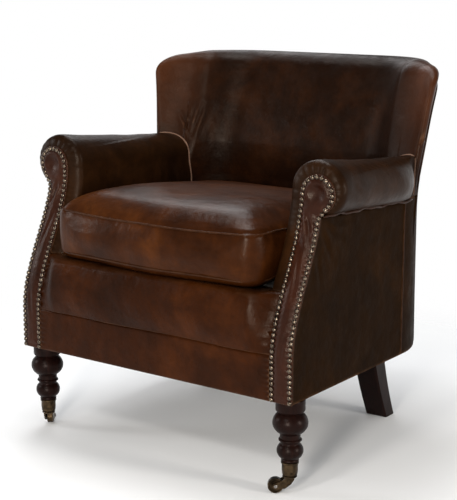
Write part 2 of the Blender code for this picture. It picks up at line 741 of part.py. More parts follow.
def timber():
    low = BASE_BOTTOM_Z + GAP
    inner = FRAME_X0 - GAP
    rail_back = RAIL_FRONT_Y + RAIL_THICKNESS
    box("front_rail", (-inner, RAIL_FRONT_Y, low), (inner, rail_back, RAIL_TOP_Z), BEECH)
    post_front = plan(POST_STATION_LOW, BACK_TIMBER_OUT, low).y - GAP
    block_y = rail_back + GAP
    for name, side in SIDES.items():
        arm_post(f"{name}_arm_post", side)
        back_post(f"{name}_back_post", side)
        ends = sorted((side * FRAME_X0, side * FRAME_X1))
        box(f"{name}_side_rail", (ends[0], POST_REAR_Y + GAP, low), (ends[1], post_front, RAIL_TOP_Z), BEECH)
        rail_front = facing_y(ARM_CAVITY_TOP_Z) + FACING_THICKNESS + POST_HEAD_DEPTH + 2 * GAP
        rings = []
        for y in (rail_front, SIDE_SEAM_Y, post_front):
            top = arm_z(ARM_CAVITY_TOP_Z, y) - ARM_RAIL_CLEARANCE
            ring = [(ends[0], y, top - ARM_RAIL_HEIGHT), (ends[1], y, top - ARM_RAIL_HEIGHT)]
            rings.append(ring + [(ends[1], y, top), (ends[0], y, top)])
        loft(f"{name}_arm_rail", rings, BEECH, smooth=False)
        corner = [(inner, block_y), (inner - FRONT_BLOCK_LEG, block_y), (inner, block_y + FRONT_BLOCK_LEG)]
        prism(f"{name}_front_block", [(side * x, y) for x, y in corner], low, low + BLOCK_HEIGHT, BEECH)
        rear_block(f"{name}_rear_block", side)
    ends = POST_STATION_END + 0.002
    horseshoe_wall("back_rail", BACK_TIMBER_IN, BACK_TIMBER_OUT, low, RAIL_TOP_Z, ends, BEECH)
    horseshoe_wall("tacking_rail", BACK_TIMBER_IN, BACK_TIMBER_OUT, TACKING_RAIL_LOW_Z,
                   TACKING_RAIL_HIGH_Z, ends, BEECH)
    crest_rail()


def rear_block(name, side):
    """Gusset in a rear corner of the seat frame, which carries the rear leg."""
    inset = BACK_TIMBER_OUT + 4 * GAP
    low = BASE_BOTTOM_Z + GAP
    stations = spread(POST_STATION_LOW + 0.012, WING_STRAIGHT + ARC_LENGTH * 0.8, 9)
    arc = [plan(s, inset, low) for s in stations]
    inner_x = REAR_LEG_X - REAR_LEG_TOP_WIDTH
    outline = [(p.x, p.y) for p in arc] + [(inner_x, arc[-1].y), (inner_x, arc[0].y)]
    made = prism(name, [(side * x, y) for x, y in outline], low, low + BLOCK_HEIGHT, BEECH)
    return boolean(made, pin_hole(f"{name}_pin_hole", side * REAR_LEG_X, REAR_LEG_TOP_Y))


def webbing():
    """Straps across the side rails, and straps from front to back woven over and under them."""
    flat = RAIL_TOP_Z + GAP
    reach = FRAME_X1 - 0.006
    cross = spread(FRONT_Y + CROSS_WEB_FRONT_SETBACK, CORNER_Y - CROSS_WEB_REAR_SETBACK, WEBS_CROSS)
    for i, y in enumerate(cross):
        box(f"cross_web_{i + 1}", (-reach, y - WEB_WIDTH / 2, flat),
            (reach, y + WEB_WIDTH / 2, flat + WEB_THICKNESS), JUTE)
    start = RAIL_FRONT_Y + 0.004
    long_reach = BODY_HALF_WIDTH - LONG_WEB_INSET
    for i, x in enumerate(spread(-long_reach, long_reach, WEBS_LONG)):
        path = [(start, flat), (start + RAIL_THICKNESS, flat)]
        for k, y in enumerate(cross):
            over = flat + (WEB_THICKNESS + GAP) * (1 if (i + k) % 2 else -1)
            path += [(y - WEB_WIDTH / 2 - 0.002, over), (y + WEB_WIDTH / 2 + 0.002, over)]
        across = abs(x) + WEB_WIDTH / 2
        rail_inner = back_line_y(across, BACK_TIMBER_OUT + GAP)
        rail_outer = back_line_y(across, BACK_TIMBER_IN)
        path += [(rail_inner - 0.010, flat), (rail_outer - 0.004, flat)]
        rings = []
        for y, z in path:
            left, right = x - WEB_WIDTH / 2, x + WEB_WIDTH / 2
            rings.append([(left, y, z), (right, y, z), (right, y, z + WEB_THICKNESS), (left, y, z + WEB_THICKNESS)])
        loft(f"long_web_{i + 1}", rings, JUTE, smooth=False)


def back_line_y(x, inset):
    """The y where a line along the back, at an inset and at seat height, stands at this x."""
    corner_x = BODY_HALF_WIDTH - BACK_CORNER_RADIUS
    reach = BACK_CORNER_RADIUS - inset
    past = max(0.0, x - corner_x)
    return CORNER_Y + math.sqrt(max(0.0, reach ** 2 - past ** 2))


def seat():
    edge = BODY_HALF_WIDTH - (FRAME_X0 - 2 * GAP)
    rear = [plan(s, edge, DECK_TOP_Z) for s in [station_at(CORNER_Y), 0.0] + arc_stations(WING_STRAIGHT)]
    right = [(FRAME_X0 - 2 * GAP, LIP_REAR_Y + GAP)] + [(p.x, p.y) for p in rear[:-1]]
    outline = right + [(-x, y) for x, y in reversed(right)]
    prism("seat_deck", outline, DECK_BOTTOM_Z, DECK_TOP_Z, FELT)
    front_lip()
    reach = FACING_INNER_X - GAP
    box("front_border", (-reach, FRONT_Y, BASE_BOTTOM_Z),
        (reach, RAIL_FRONT_Y - GAP, LIP_SEAM_Z), LEATHER)
    cushion()
    dust_cover()


def front_lip():
    """Padded roll under the cushion. It runs back at its ends to meet the facings."""
    reach = FACING_INNER_X - GAP
    low = LIP_SEAM_Z + GAP
    back = RAIL_FRONT_Y - GAP
    rings = []
    for x in (-1, -0.985, -0.965, -0.94, -0.91, -0.86, -0.6, -0.3, 0, 0.3, 0.6, 0.86, 0.91, 0.94, 0.965, 0.985, 1):
        x *= reach
        ending = step(abs(x), ARM_INNER_X - 0.012, reach)
        ring = []
        for share in spread(0, 1, 8):
            z = low + (DECK_TOP_Z - 0.014 - low) * share
            swell = LIP_BULGE * math.sin(math.pi * min(1.0, 0.12 + share * 0.8))
            middle = FRONT_Y - swell
            end = facing_y(z) + 0.001
            if z < DECK_BOTTOM_Z + 0.003:
                end = min(end, back - 0.003)
            ring.append((x, middle + (end - middle) * ending, z))
        last = ring[-1][1]
        ring += [(x, last + 0.005, DECK_TOP_Z - 0.004), (x, last + 0.016, DECK_TOP_Z)]
        ring += [(x, LIP_REAR_Y, DECK_TOP_Z), (x, LIP_REAR_Y, DECK_BOTTOM_Z)]
        ring += [(x, back, DECK_BOTTOM_Z), (x, back, low)]
        rings.append(ring)
    return loft("front_lip", rings, LEATHER)


def cushion_outline():
    """Plan of the seat cushion: bowed front, round front corners, rear like the back."""
    half_x = ARM_INNER_X - CUSHION_SIDE_GAP
    front = -DEPTH / 2 + CUSHION_BULGE
    radius = CUSHION_CORNER_RADIUS
    corner_x = half_x - radius

    def bow(x):
        return front + CUSHION_BOW * (x / half_x) ** 2

    right = [(x, bow(x)) for x in spread(0.0, corner_x, 6)]
    corner_y = bow(corner_x) + radius
    for degrees in (-72, -54, -36, -18, 0):
        angle = math.radians(degrees)
        right.append((corner_x + radius * math.cos(angle), corner_y + radius * math.sin(angle)))
    inset = BACK_THICKNESS + CUSHION_SIDE_GAP
    reach = BACK_CORNER_RADIUS - inset
    centre_x = BODY_HALF_WIDTH - BACK_CORNER_RADIUS
    first = math.acos((half_x - centre_x) / reach)
    rear_y = CORNER_Y + reach * math.sin(first)
    right += [(half_x, y) for y in spread(corner_y, rear_y, 5)[1:-1]]
    for angle in spread(first, math.pi / 2, 6):
        right.append((centre_x + reach * math.cos(angle), CORNER_Y + reach * math.sin(angle)))
    right.append((centre_x / 2, CORNER_Y + reach))
    right.append((0.0, CORNER_Y + reach))
    left = [(-x, y) for x, y in reversed(right[1:-1])]
    return right + left


def cushion():
    outline = cushion_outline()
    half_x = ARM_INNER_X - CUSHION_SIDE_GAP
    middle_y = (min(y for x, y in outline) + max(y for x, y in outline)) / 2
    half_y = max(y for x, y in outline) - middle_y
    low = DECK_TOP_Z + GAP
    crown = CUSHION_CROWN_Z - CUSHION_SEAM_HIGH_Z
    belly_z = (CUSHION_SEAM_LOW_Z + CUSHION_SEAM_HIGH_Z) / 2
    levels = [(0.020, 0, low), (0.004, 0, low + 0.004), (0, 0, CUSHION_SEAM_LOW_Z)]
    levels += [(0, 0.75, (CUSHION_SEAM_LOW_Z + belly_z) / 2), (0, 1, belly_z)]
    levels += [(0, 0.75, (CUSHION_SEAM_HIGH_Z + belly_z) / 2), (0, 0, CUSHION_SEAM_HIGH_Z)]
    levels += [(0.006, 0, CUSHION_SEAM_HIGH_Z + 0.2 * crown), (0.030, 0, CUSHION_SEAM_HIGH_Z + 0.48 * crown)]
    levels += [(0.070, 0, CUSHION_SEAM_HIGH_Z + 0.78 * crown), (0.120, 0, CUSHION_SEAM_HIGH_Z + 0.95 * crown)]
    levels += [(0.180, 0, CUSHION_CROWN_Z)]
    rings = []
    for inset, bulge, z in levels:
        ring = []
        for x, y in outline:
            y = middle_y + (y - middle_y) * (half_y - inset) / half_y
            y -= CUSHION_BULGE * bulge * step(-y, 0.15, 0.30)
            ring.append((x * (half_x - inset) / half_x, y, z))
        rings.append(ring)
    return loft("seat_cushion", rings, LEATHER)


def dust_cover():
    """Black cloth under the frame, cut round the four legs."""
    edge = 0.012
    top = BASE_BOTTOM_Z - GAP
    half = [plan(s, edge, top) for s in [station_at(CORNER_Y), 0.0] + arc_stations(WING_STRAIGHT)[:-1]]
    right = [(BODY_HALF_WIDTH - edge, FRONT_Y + edge)] + [(p.x, p.y) for p in half]
    outline = right + [(-x, y) for x, y in reversed(right)]
    cloth = prism("dust_cover", outline, top - DUST_COVER_THICKNESS, top, CAMBRIC)
    reach_z = 0.01
    for name, side in SIDES.items():
        ends = sorted((side * (FRONT_LEG_X - LEG_COLLAR_RADIUS - 0.002), side * BODY_HALF_WIDTH))
        front = box(f"cut_{name}_front_leg", (ends[0], FRONT_Y, top - reach_z),
                    (ends[1], FRONT_LEG_Y + LEG_COLLAR_RADIUS + 0.002, top + reach_z), CAMBRIC)
        wide = REAR_LEG_TOP_WIDTH / 2 + 0.002
        deep = REAR_LEG_TOP_DEPTH / 2 + 0.002
        rear = box(f"cut_{name}_rear_leg", (side * REAR_LEG_X - wide, REAR_LEG_TOP_Y - deep, top - reach_z),
                   (side * REAR_LEG_X + wide, REAR_LEG_TOP_Y + deep, top + reach_z), CAMBRIC)
        boolean(cloth, as_cutter(front))
        boolean(cloth, as_cutter(rear))
    return cloth


def ball(centre_z, radius, half_height, neck_low, neck_high, steps):
    """Profile points up a turned ball, from its lower neck radius to its upper one."""
    start = -math.acos(min(1.0, neck_low / radius))
    end = math.acos(min(1.0, neck_high / radius))
    points = []
    for angle in spread(start, end, steps):
        points.append((radius * math.cos(angle), centre_z + half_height * math.sin(angle)))
    return points


def front_leg(name, side):
    """Turned leg: collar, two balls, and a tip that stands in the castor's cup."""
    profile = [(LEG_TIP_RADIUS - 0.001, LEG_TIP_Z), (LEG_TIP_RADIUS, CUP_TOP_Z)]
    profile += [(0.0168, CUP_TOP_Z + GAP), (0.0172, 0.0655), (0.0160, 0.0675)]
    profile += ball(0.0845, 0.0255, 0.0205, 0.0170, 0.0185, 6)
    profile += ball(0.1060, 0.0225, 0.0060, 0.0190, 0.0195, 3)
    profile += ball(0.1395, 0.0340, 0.0265, 0.0195, 0.0235, 8)
    top = BASE_BOTTOM_Z - GAP
    profile += [(0.0265, 0.1625), (LEG_COLLAR_RADIUS, 0.1650), (LEG_COLLAR_RADIUS, top - 0.001)]
    profile += [(LEG_COLLAR_RADIUS - 0.001, top), (LEG_PIN_RADIUS, top)]
    profile += [(LEG_PIN_RADIUS, top + LEG_PIN_LENGTH)]
    made = revolve(name, profile, MAHOGANY, steps=20)
    made.location = (side * FRONT_LEG_X, FRONT_LEG_Y, 0)
    return made


def rear_leg(name, side):
    """Square tapered leg that sweeps back to its foot, with a pin into its block."""
    top = BASE_BOTTOM_Z - GAP
    rings = []
    for share in spread(0, 1, 9):
        z = top * share
        y = REAR_LEG_FOOT_Y + (REAR_LEG_TOP_Y - REAR_LEG_FOOT_Y) * share - REAR_LEG_SWEEP * math.sin(math.pi * share)
        wide = (REAR_LEG_FOOT_WIDTH + (REAR_LEG_TOP_WIDTH - REAR_LEG_FOOT_WIDTH) * share) / 2
        deep = (REAR_LEG_FOOT_DEPTH + (REAR_LEG_TOP_DEPTH - REAR_LEG_FOOT_DEPTH) * share) / 2
        trim = 0.003
        ring = []
        for sx, sy in ((-1, -1), (1, -1), (1, 1), (-1, 1)):
            first = (sx * (wide - trim), y + sy * deep, z)
            second = (sx * wide, y + sy * (deep - trim), z)
            ring += [first, second] if sx * sy < 0 else [second, first]
        rings.append(ring)
    leg = loft(name, rings, MAHOGANY)
    pin = revolve(f"{name}_pin", [(LEG_PIN_RADIUS, top - 0.01), (LEG_PIN_RADIUS, top + LEG_PIN_LENGTH)],
                  MAHOGANY, steps=16)
    pin.location = (0, REAR_LEG_TOP_Y, 0)
    boolean(leg, as_cutter(pin), "UNION")
    for piece in (leg, pin):
        piece.location.x = side * REAR_LEG_X
    return leg


def turned_ring(name, profile, finish, steps):
    """Turn a closed profile of (radius, along) pairs about Y, leaving the bore open."""
    count = len(profile)
    points = []
    faces = []
    for i in range(steps):
        angle = 2 * math.pi * i / steps
        for radius, along in profile:
            points.append((radius * math.cos(angle), along, radius * math.sin(angle)))
        for k in range(count):
            low = i * count
            high = (i + 1) % steps * count
            faces.append((low + k, low + (k + 1) % count, high + (k + 1) % count, high + k))
    return solid(name, points, faces, finish)


def castor(name, side):
    """Cup on the leg's tip, and below it a swivelling horn with a rolling wheel."""
    centre = (side * FRONT_LEG_X, FRONT_LEG_Y, 0)
    swivel = bpy.data.objects.new(f"{name}_castor_swivel", None)
    swivel.location = centre
    swivel.rotation_euler = (0, 0, CASTOR_ANGLE[name])
    bpy.context.scene.collection.objects.link(swivel)

    floor_z = LEG_TIP_Z - GAP - CUP_FLOOR
    bore = LEG_TIP_RADIUS + GAP
    outer = bore + CUP_WALL
    pin_hole_radius = SWIVEL_PIN_RADIUS + GAP
    profile = [(pin_hole_radius, 0), (outer - 0.003, 0), (outer - 0.001, 0.002), (outer, 0.010),
               (outer, CUP_TOP_Z - 0.005 - floor_z), (outer + 0.0016, CUP_TOP_Z - 0.0035 - floor_z),
               (outer + 0.0016, CUP_TOP_Z - 0.001 - floor_z), (outer, CUP_TOP_Z - floor_z),
               (bore, CUP_TOP_Z - floor_z), (bore - 0.001, CUP_FLOOR), (pin_hole_radius, CUP_FLOOR)]
    cup = turned_ring(f"{name}_castor_cup", profile, BRASS, 20)
    cup.data.transform(Matrix.Rotation(math.pi / 2, 4, "X"))
    cup.location = (centre[0], centre[1], floor_z)

    plate_top = floor_z - SWIVEL_GAP
    plate_low = plate_top - HORN_PLATE_THICKNESS
    head_top = plate_low - GAP
    pin = revolve(f"{name}_swivel_pin", [(SWIVEL_HEAD_RADIUS - 0.0015, head_top - SWIVEL_HEAD_HEIGHT),
                                         (SWIVEL_HEAD_RADIUS, head_top - SWIVEL_HEAD_HEIGHT / 2),
                                         (SWIVEL_HEAD_RADIUS, head_top), (SWIVEL_PIN_RADIUS, head_top),
                                         (SWIVEL_PIN_RADIUS, floor_z + CUP_FLOOR)], STEEL, steps=12)
    pin.location = centre
    horn = revolve(f"{name}_castor_horn", [(HORN_PLATE_RADIUS - 0.001, plate_low),
                                           (HORN_PLATE_RADIUS, plate_low + 0.001),
                                           (HORN_PLATE_RADIUS, plate_top - 0.0008),
                                           (HORN_PLATE_RADIUS - 0.0008, plate_top)], BRASS, steps=20)
    horn.parent = swivel
    cheek_in = WHEEL_WIDTH / 2 + WHEEL_SIDE_GAP
    cheek_out = cheek_in + HORN_CHEEK_THICKNESS
    for mark, low, high in (("near", cheek_in, cheek_out), ("far", -cheek_out, -cheek_in)):
        cheek = horn_cheek(f"{name}_horn_{mark}_cheek", low, high, plate_low)
        cheek.parent = swivel
        boolean(horn, as_cutter(cheek), "UNION")
    bore_tool = revolve(f"cut_{name}_horn_bore", [(SWIVEL_PIN_RADIUS + SWIVEL_PIN_CLEARANCE, plate_low - 0.01),
                                                  (SWIVEL_PIN_RADIUS + SWIVEL_PIN_CLEARANCE, plate_top + 0.01)],
                        BRASS, steps=16)
    bore_tool.parent = swivel
    boolean(horn, as_cutter(bore_tool))
    axle_length = cheek_out + GAP
    axle_tool = revolve(f"cut_{name}_axle_bore", [(AXLE_RADIUS + GAP, -0.03), (AXLE_RADIUS + GAP, 0.03)],
                        BRASS, steps=16)
    axle = revolve(f"{name}_axle", [(RIVET_RADIUS - 0.0008, -axle_length - RIVET_HEIGHT),
                                    (RIVET_RADIUS, -axle_length - RIVET_HEIGHT / 2),
                                    (RIVET_RADIUS, -axle_length), (AXLE_RADIUS, -axle_length),
                                    (AXLE_RADIUS, axle_length), (RIVET_RADIUS, axle_length),
                                    (RIVET_RADIUS, axle_length + RIVET_HEIGHT / 2),
                                    (RIVET_RADIUS - 0.0008, axle_length + RIVET_HEIGHT)], STEEL, steps=12)
    for piece in (axle_tool, axle):
        piece.data.transform(Matrix.Rotation(math.pi / 2, 4, "X"))
        piece.location = (CASTOR_TRAIL, 0, WHEEL_RADIUS)
        piece.parent = swivel
    boolean(horn, as_cutter(axle_tool))
    castor_wheel(f"{name}_castor_wheel", swivel)


def horn_cheek(name, y0, y1, plate_low):
    """One side of the horn, sweeping from under the plate down to the boss round the axle."""
    top = plate_low + HORN_PLATE_THICKNESS / 2
    outline = [(-0.0085, top), (-0.0080, plate_low - 0.003), (-0.0020, plate_low - 0.0125), (0.0090, 0.0110)]
    for degrees in (-110, -80, -50, -20, 10, 40, 70):
        angle = math.radians(degrees)
        outline.append((CASTOR_TRAIL + HORN_BOSS_RADIUS * math.cos(angle),
                        WHEEL_RADIUS + HORN_BOSS_RADIUS * math.sin(angle)))
    outline += [(0.0200, 0.0235), (0.0130, 0.0275), (0.0085, plate_low), (0.0085, top)]
    rings = [[(x, y, z) for x, z in outline] for y in (y0, y1)]
    return loft(name, rings, BRASS, smooth=False)


def castor_wheel(name, swivel):
    half = WHEEL_WIDTH / 2
    bore = AXLE_RADIUS + AXLE_CLEARANCE
    rim = WHEEL_RADIUS
    profile = [(bore, -half), (0.0055, -half), (0.0065, -half + 0.0015), (rim - 0.0035, -half + 0.0015),
               (rim - 0.0025, -half), (rim - 0.0010, -half), (rim, -half + 0.0010)]
    profile += [(radius, -along) for radius, along in reversed(profile)]
    wheel = turned_ring(name, profile, BRASS, 20)
    wheel.location = (CASTOR_TRAIL, 0, WHEEL_RADIUS)
    wheel.parent = swivel
    return wheel


def back_welt():
    """Cord over the seam between inside and outside back, up the wings and along the crest."""
    half = []
    stand = -(WELT_RADIUS + WELT_CLEARANCE)
    for z in spread(SKIRT_Z + 0.045, hood_height(WRAP_WIDTH), 6)[:-1]:
        half.append((WRAP_WIDTH, z))
    for degrees in (0, 30, 60, 90):
        station = WRAP_WIDTH + WING_CORNER_RADIUS * (1 - math.cos(math.radians(degrees)))
        half.append((station, hood_height(station)))
    for station in arc_stations(half[-1][0])[1:]:
        half.append((station, hood_height(station)))
    path = [plan(s, stand, z, 1) for s, z in half]
    path += [plan(s, stand, z, -1) for s, z in reversed(half[:-1])]
    return tube("back_welt", path, WELT_RADIUS, WELT, sides=6)


SKIRT_Z = tuck_z(SIDE_SEAM_Y) - 2 * GAP
seats = {side: as_cutter(facing(f"cut_{name}_facing", side, GAP)) for name, side in SIDES.items()}


def arms():
    for name, side in SIDES.items():
        cover = arm_cover(f"{name}_arm_cover", side)
        boolean(cover, as_cutter(back_body(f"cut_{name}_arm_end", ARM_END_GAP)))
        boolean(cover, seats[side])
        facing(f"{name}_facing", side)
        boolean(outside_arm(f"{name}_outside_arm", side), seats[side])


def legs():
    for name, side in SIDES.items():
        front_leg(f"{name}_front_leg", side)
        rear_leg(f"{name}_rear_leg", side)
        castor(name, side)


timber()
webbing()
seat()
inside_back()
outside_back()
back_welt()
arms()
legs()
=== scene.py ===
"""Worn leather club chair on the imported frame: leather with folds, pleats and nail heads,
a simulated seat cushion, turned legs, a pale floor and soft studio light."""
import json
import math

import bmesh
import bpy
import numpy as np
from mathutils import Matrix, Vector
from mathutils.bvhtree import BVHTree

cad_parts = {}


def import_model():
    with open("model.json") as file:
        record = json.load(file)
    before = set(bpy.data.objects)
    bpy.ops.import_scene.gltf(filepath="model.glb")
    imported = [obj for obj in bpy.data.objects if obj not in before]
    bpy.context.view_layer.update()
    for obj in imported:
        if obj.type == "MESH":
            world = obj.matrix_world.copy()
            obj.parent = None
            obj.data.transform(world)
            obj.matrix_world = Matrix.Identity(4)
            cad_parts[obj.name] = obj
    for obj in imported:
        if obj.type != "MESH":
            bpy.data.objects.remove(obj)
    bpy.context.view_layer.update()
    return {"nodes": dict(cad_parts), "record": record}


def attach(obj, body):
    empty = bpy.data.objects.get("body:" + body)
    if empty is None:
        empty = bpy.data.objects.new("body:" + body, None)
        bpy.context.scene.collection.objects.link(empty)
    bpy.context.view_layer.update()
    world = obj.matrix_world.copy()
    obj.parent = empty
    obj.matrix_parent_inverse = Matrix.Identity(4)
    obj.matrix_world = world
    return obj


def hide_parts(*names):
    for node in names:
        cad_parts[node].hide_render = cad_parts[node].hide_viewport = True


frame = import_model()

NODES = frame["nodes"]
SIDES = {"left": 1, "right": -1}

# Sizes shared with the frame, in metres.

FRONT_Y = -0.324
HALF = 0.34
BASE_Z = 0.186
DECK_Z = 0.3863
LIP_SEAM_Z = 0.275
SCROLL_X, SCROLL_Z, SCROLL_R = 0.331, 0.565, 0.0375
FACING_X = 0.292
FACING_T = 0.005
ARM_X = 0.262
ROLL_X, ROLL_Z, ROLL_A, ROLL_B = 0.3245, 0.572, 0.0595, 0.056
TUCK_X, TUCK_Z = 0.345, 0.5295
KEEP_X = 0.3375
CORNER_R = 0.18
BACK_Y = 0.2777
CORNER_Y = BACK_Y - CORNER_R
WING_AHEAD, SEAM_AHEAD = 0.0228, 0.0335
WING_Y = CORNER_Y + WING_AHEAD
SEAM_Y = WING_Y - SEAM_AHEAD
WING_S = 0.045
JOIN = math.radians(15)
WING_SLOPE = (CORNER_R * math.sin(JOIN) - WING_AHEAD) / WING_S
ARC = CORNER_R * (math.pi / 2 - JOIN)
FLAT = HALF - CORNER_R
TOTAL = WING_S + ARC + FLAT
CREST_Z = 0.783
WRAP = 0.0245
WING_CR = 0.041
TAPER_Y1 = WING_Y - 0.0075
TAPER_Y0 = TAPER_Y1 - 0.1225
SWEEP, SWEEP_LOW, SWEEP_HIGH = 0.093, 0.27, 0.56
ARM_FRONT_Y = FRONT_Y + SWEEP
BACK_LEAN, WING_LEAN = 0.3, 0.13
BORDER_REACH = FACING_X - 0.0003
NAIL_PITCH = 0.0103


def smooth(v, lo, hi):
    t = np.clip((np.asarray(v, float) - lo) / (hi - lo), 0, 1)
    return t * t * (3 - 2 * t)


def facing_y(z):
    """Front of the arms, which sweep back as they rise."""
    return FRONT_Y + SWEEP * smooth(z, SWEEP_LOW, SWEEP_HIGH)


def lean(z, slope):
    """How far a face has leaned back at a height: upright below the seat, then bending into a slope."""
    r = np.asarray(z, float) - 0.47
    return slope * np.where(r <= 0, 0, np.where(r < 0.1, r * r / 0.2, r - 0.05))


def thickness(z, s=0.085):
    full = np.minimum(0.062 + lean(z, BACK_LEAN) - lean(z, WING_LEAN), 0.072)
    return 0.024 + (full - 0.024) * smooth(s, 0, 0.085)


def plan(s, inset, z):
    """x and y of points on the horseshoe, for stations, insets and heights as arrays."""
    s, inset, z = np.broadcast_arrays(np.asarray(s, float), np.asarray(inset, float), np.asarray(z, float))
    cx = HALF - 0.007 * smooth(z, 0.52, 0.72) - CORNER_R
    cy = CORNER_Y + lean(z, BACK_LEAN)
    reach = CORNER_R - inset
    join = cy + CORNER_R * math.sin(JOIN)
    wing = WING_Y + lean(z, WING_LEAN)
    ahead = np.clip(1 + s / SEAM_AHEAD, 0, 1)
    front = WING_Y + lean(z, WING_LEAN) * ahead + s * WING_SLOPE
    ny = np.where(s < 0, front, wing + (join - wing) * s / WING_S)
    sn = (ny - cy) / CORNER_R
    a1 = np.arcsin(np.clip(sn, 0, 1))
    a2 = JOIN + (s - WING_S) / CORNER_R
    ang = np.where(s < WING_S, a1, a2)
    x = cx + reach * np.cos(ang)
    y = np.where((s < WING_S) & (sn < 0), cy + sn * CORNER_R, cy + reach * np.sin(ang))
    past = (s - WING_S - ARC) / FLAT
    flat = s >= WING_S + ARC
    x = np.where(flat, cx * (1 - past), x)
    y = np.where(flat, cy + reach, y)
    lead = np.clip(1 - np.maximum(0, s) / 0.1, 0, 1)
    x = x + (0.14 * lead ** 1.5 + 0.028 * lead ** 4) * lean(z, 1.0)
    return x, y


def corner_drop(s):
    """Drop of a line that rounds the wing's upper corner, at a distance behind where it starts."""
    left = np.clip(WING_CR - s, 0, None)
    return np.where(left > 0, WING_CR - np.sqrt(np.maximum(0, WING_CR ** 2 - left ** 2)), 0)


def crest_height(s):
    s = np.asarray(s, float)
    return CREST_Z - 0.012 * (1 - smooth(s, 0, 0.105)) - corner_drop(s)


def hood_height(s):
    """Height of the welt, where the leather of the inside back ends."""
    return crest_height(s) - 0.04 - corner_drop(np.asarray(s, float) - WRAP)


def tuck_z(y):
    """Height where the arm's leather tucks in below the roll."""
    return TUCK_Z - 0.045 * np.clip(np.minimum(y, SEAM_Y) - ARM_FRONT_Y, 0, None)


def arm_z(z, y):
    """Height of a point of the arm's section further back, where the roll is lower and thinner."""
    run = np.clip(np.asarray(y, float) - ARM_FRONT_Y, 0, None)
    scale = 1 - 0.049 * run / (ROLL_Z + ROLL_B - TUCK_Z)
    drop = tuck_z(y) - TUCK_Z + (z - TUCK_Z) * (scale - 1)
    return z + drop * smooth(z, 0.41, 0.52)


SKIRT_Z = float(tuck_z(SEAM_Y)) - 0.0006


def spread(a, b, n):
    return np.linspace(a, b, n)


def both_sides(half):
    """Stations of the whole horseshoe as (side, station), from the left wing to the right one."""
    return [(1, s) for s in half] + [(-1, s) for s in half[::-1][1:]]


def bell(v, width):
    return np.exp(-(v / width) ** 2)


def rolled(v, width):
    """1 at an edge, falling to 0 at a distance from it."""
    return (1 - np.clip(v / width, 0, 1)) ** 2


def crease(dist, width, lip):
    """Profile across a crease: pressed in along its line, with a lip beside it."""
    return lip * bell(dist - 2 * width, width) - bell(dist, width)


def along_crease(t, end):
    """Depth along a crease, from a shallow start to a shallow end."""
    return np.sin(np.pi * np.clip(t, end, 1 - end))


def creases(P, lines, lip, end):
    """Sum of creases on points, for lines that each come with a width and a depth."""
    total = 0
    for line, width, depth in lines:
        dist, t = nearest_on(P, line)
        total = total + crease(dist, width, lip) * depth * along_crease(t, end)
    return total


def wave(P, scale, seed, octaves=5):
    """Smooth seeded undulation, about -1 to 1, at points P."""
    rng = np.random.RandomState(seed)
    out = np.zeros(P.shape[:-1])
    for _ in range(octaves):
        d = rng.normal(size=3)
        d /= np.linalg.norm(d)
        k = scale * rng.uniform(0.6, 1.7)
        out += np.sin(P @ d * k + rng.uniform(0, 6.28))
    return out / math.sqrt(octaves) * 0.8


def normals(P):
    """Unit normals of a grid of points, by central differences."""
    du = np.gradient(P, axis=0)
    dv = np.gradient(P, axis=1)
    n = np.cross(du, dv)
    return n / np.maximum(np.linalg.norm(n, axis=-1, keepdims=True), 1e-12)


def nearest_on(P, line):
    """Distance of each point to a polyline, and how far along it, from 0 to 1."""
    line = np.asarray(line, float)
    best = np.full(P.shape[:-1], 1e9)
    along = np.zeros(P.shape[:-1])
    n = len(line) - 1
    for i, (a, b) in enumerate(zip(line, line[1:])):
        ab = b - a
        t = np.clip(((P - a) @ ab) / (ab @ ab), 0, 1)
        d = np.linalg.norm(P - (a + t[..., None] * ab), axis=-1)
        hit = d < best
        best = np.where(hit, d, best)
        along = np.where(hit, (i + t) / n, along)
    return best, along


def fold(P, N, line, width, depth):
    """Press a crease into a grid along a polyline, with a soft lip beside it."""
    d, t = nearest_on(P, line)
    fade = along_crease(t, 0.04) ** 0.7
    cut = -np.exp(-(d / width) ** 1.5)
    lip = 0.6 * np.exp(-((d - 2.2 * width) / (1.1 * width)) ** 2)
    return P + N * ((cut + lip) * depth * fade)[..., None]


# Meshes

ROOT = bpy.context.scene.collection


def make(name, verts, faces, mat, body="chair", smooth_angle=None):
    mesh = bpy.data.meshes.new(name)
    mesh.from_pydata([tuple(map(float, v)) for v in verts], [], faces)
    work = bmesh.new()
    work.from_mesh(mesh)
    bmesh.ops.recalc_face_normals(work, faces=work.faces)
    work.to_mesh(mesh)
    work.free()
    mesh.shade_smooth()
    if smooth_angle:
        mesh.set_sharp_from_angle(angle=math.radians(smooth_angle))
    mesh.materials.append(mat)
    ob = bpy.data.objects.new(name, mesh)
    ROOT.objects.link(ob)
    if body:
        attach(ob, body)
    return ob


def grid_faces(nu, nv, off=0, wrap_v=False, wrap_u=False):
    faces = []
    for i in range(nu if wrap_u else nu - 1):
        i2 = (i + 1) % nu
        for j in range(nv if wrap_v else nv - 1):
            j2 = (j + 1) % nv
            faces.append((off + i * nv + j, off + i * nv + j2, off + i2 * nv + j2, off + i2 * nv + j))
    return faces


def surface_tree(ob):
    mesh = ob.data
    return BVHTree.FromPolygons([v.co[:] for v in mesh.vertices], [p.vertices[:] for p in mesh.polygons])


def ring_body(name, R, mat, angle=None, caps="strip"):
    """Closed body from rings R[i][j], with both ends capped."""
    nu, nv = R.shape[:2]
    faces = grid_faces(nu, nv, wrap_v=True)
    for start in (0, (nu - 1) * nv):
        if caps == "strip":
            for i in range((nv - 1) // 2):
                c = [i, i + 1, nv - 2 - i, nv - 1 - i]
                faces.append(tuple(dict.fromkeys(start + k for k in c)))
        else:
            faces.append(tuple(range(start, start + nv)))
    return make(name, R.reshape(-1, 3), faces, mat, "chair", angle)


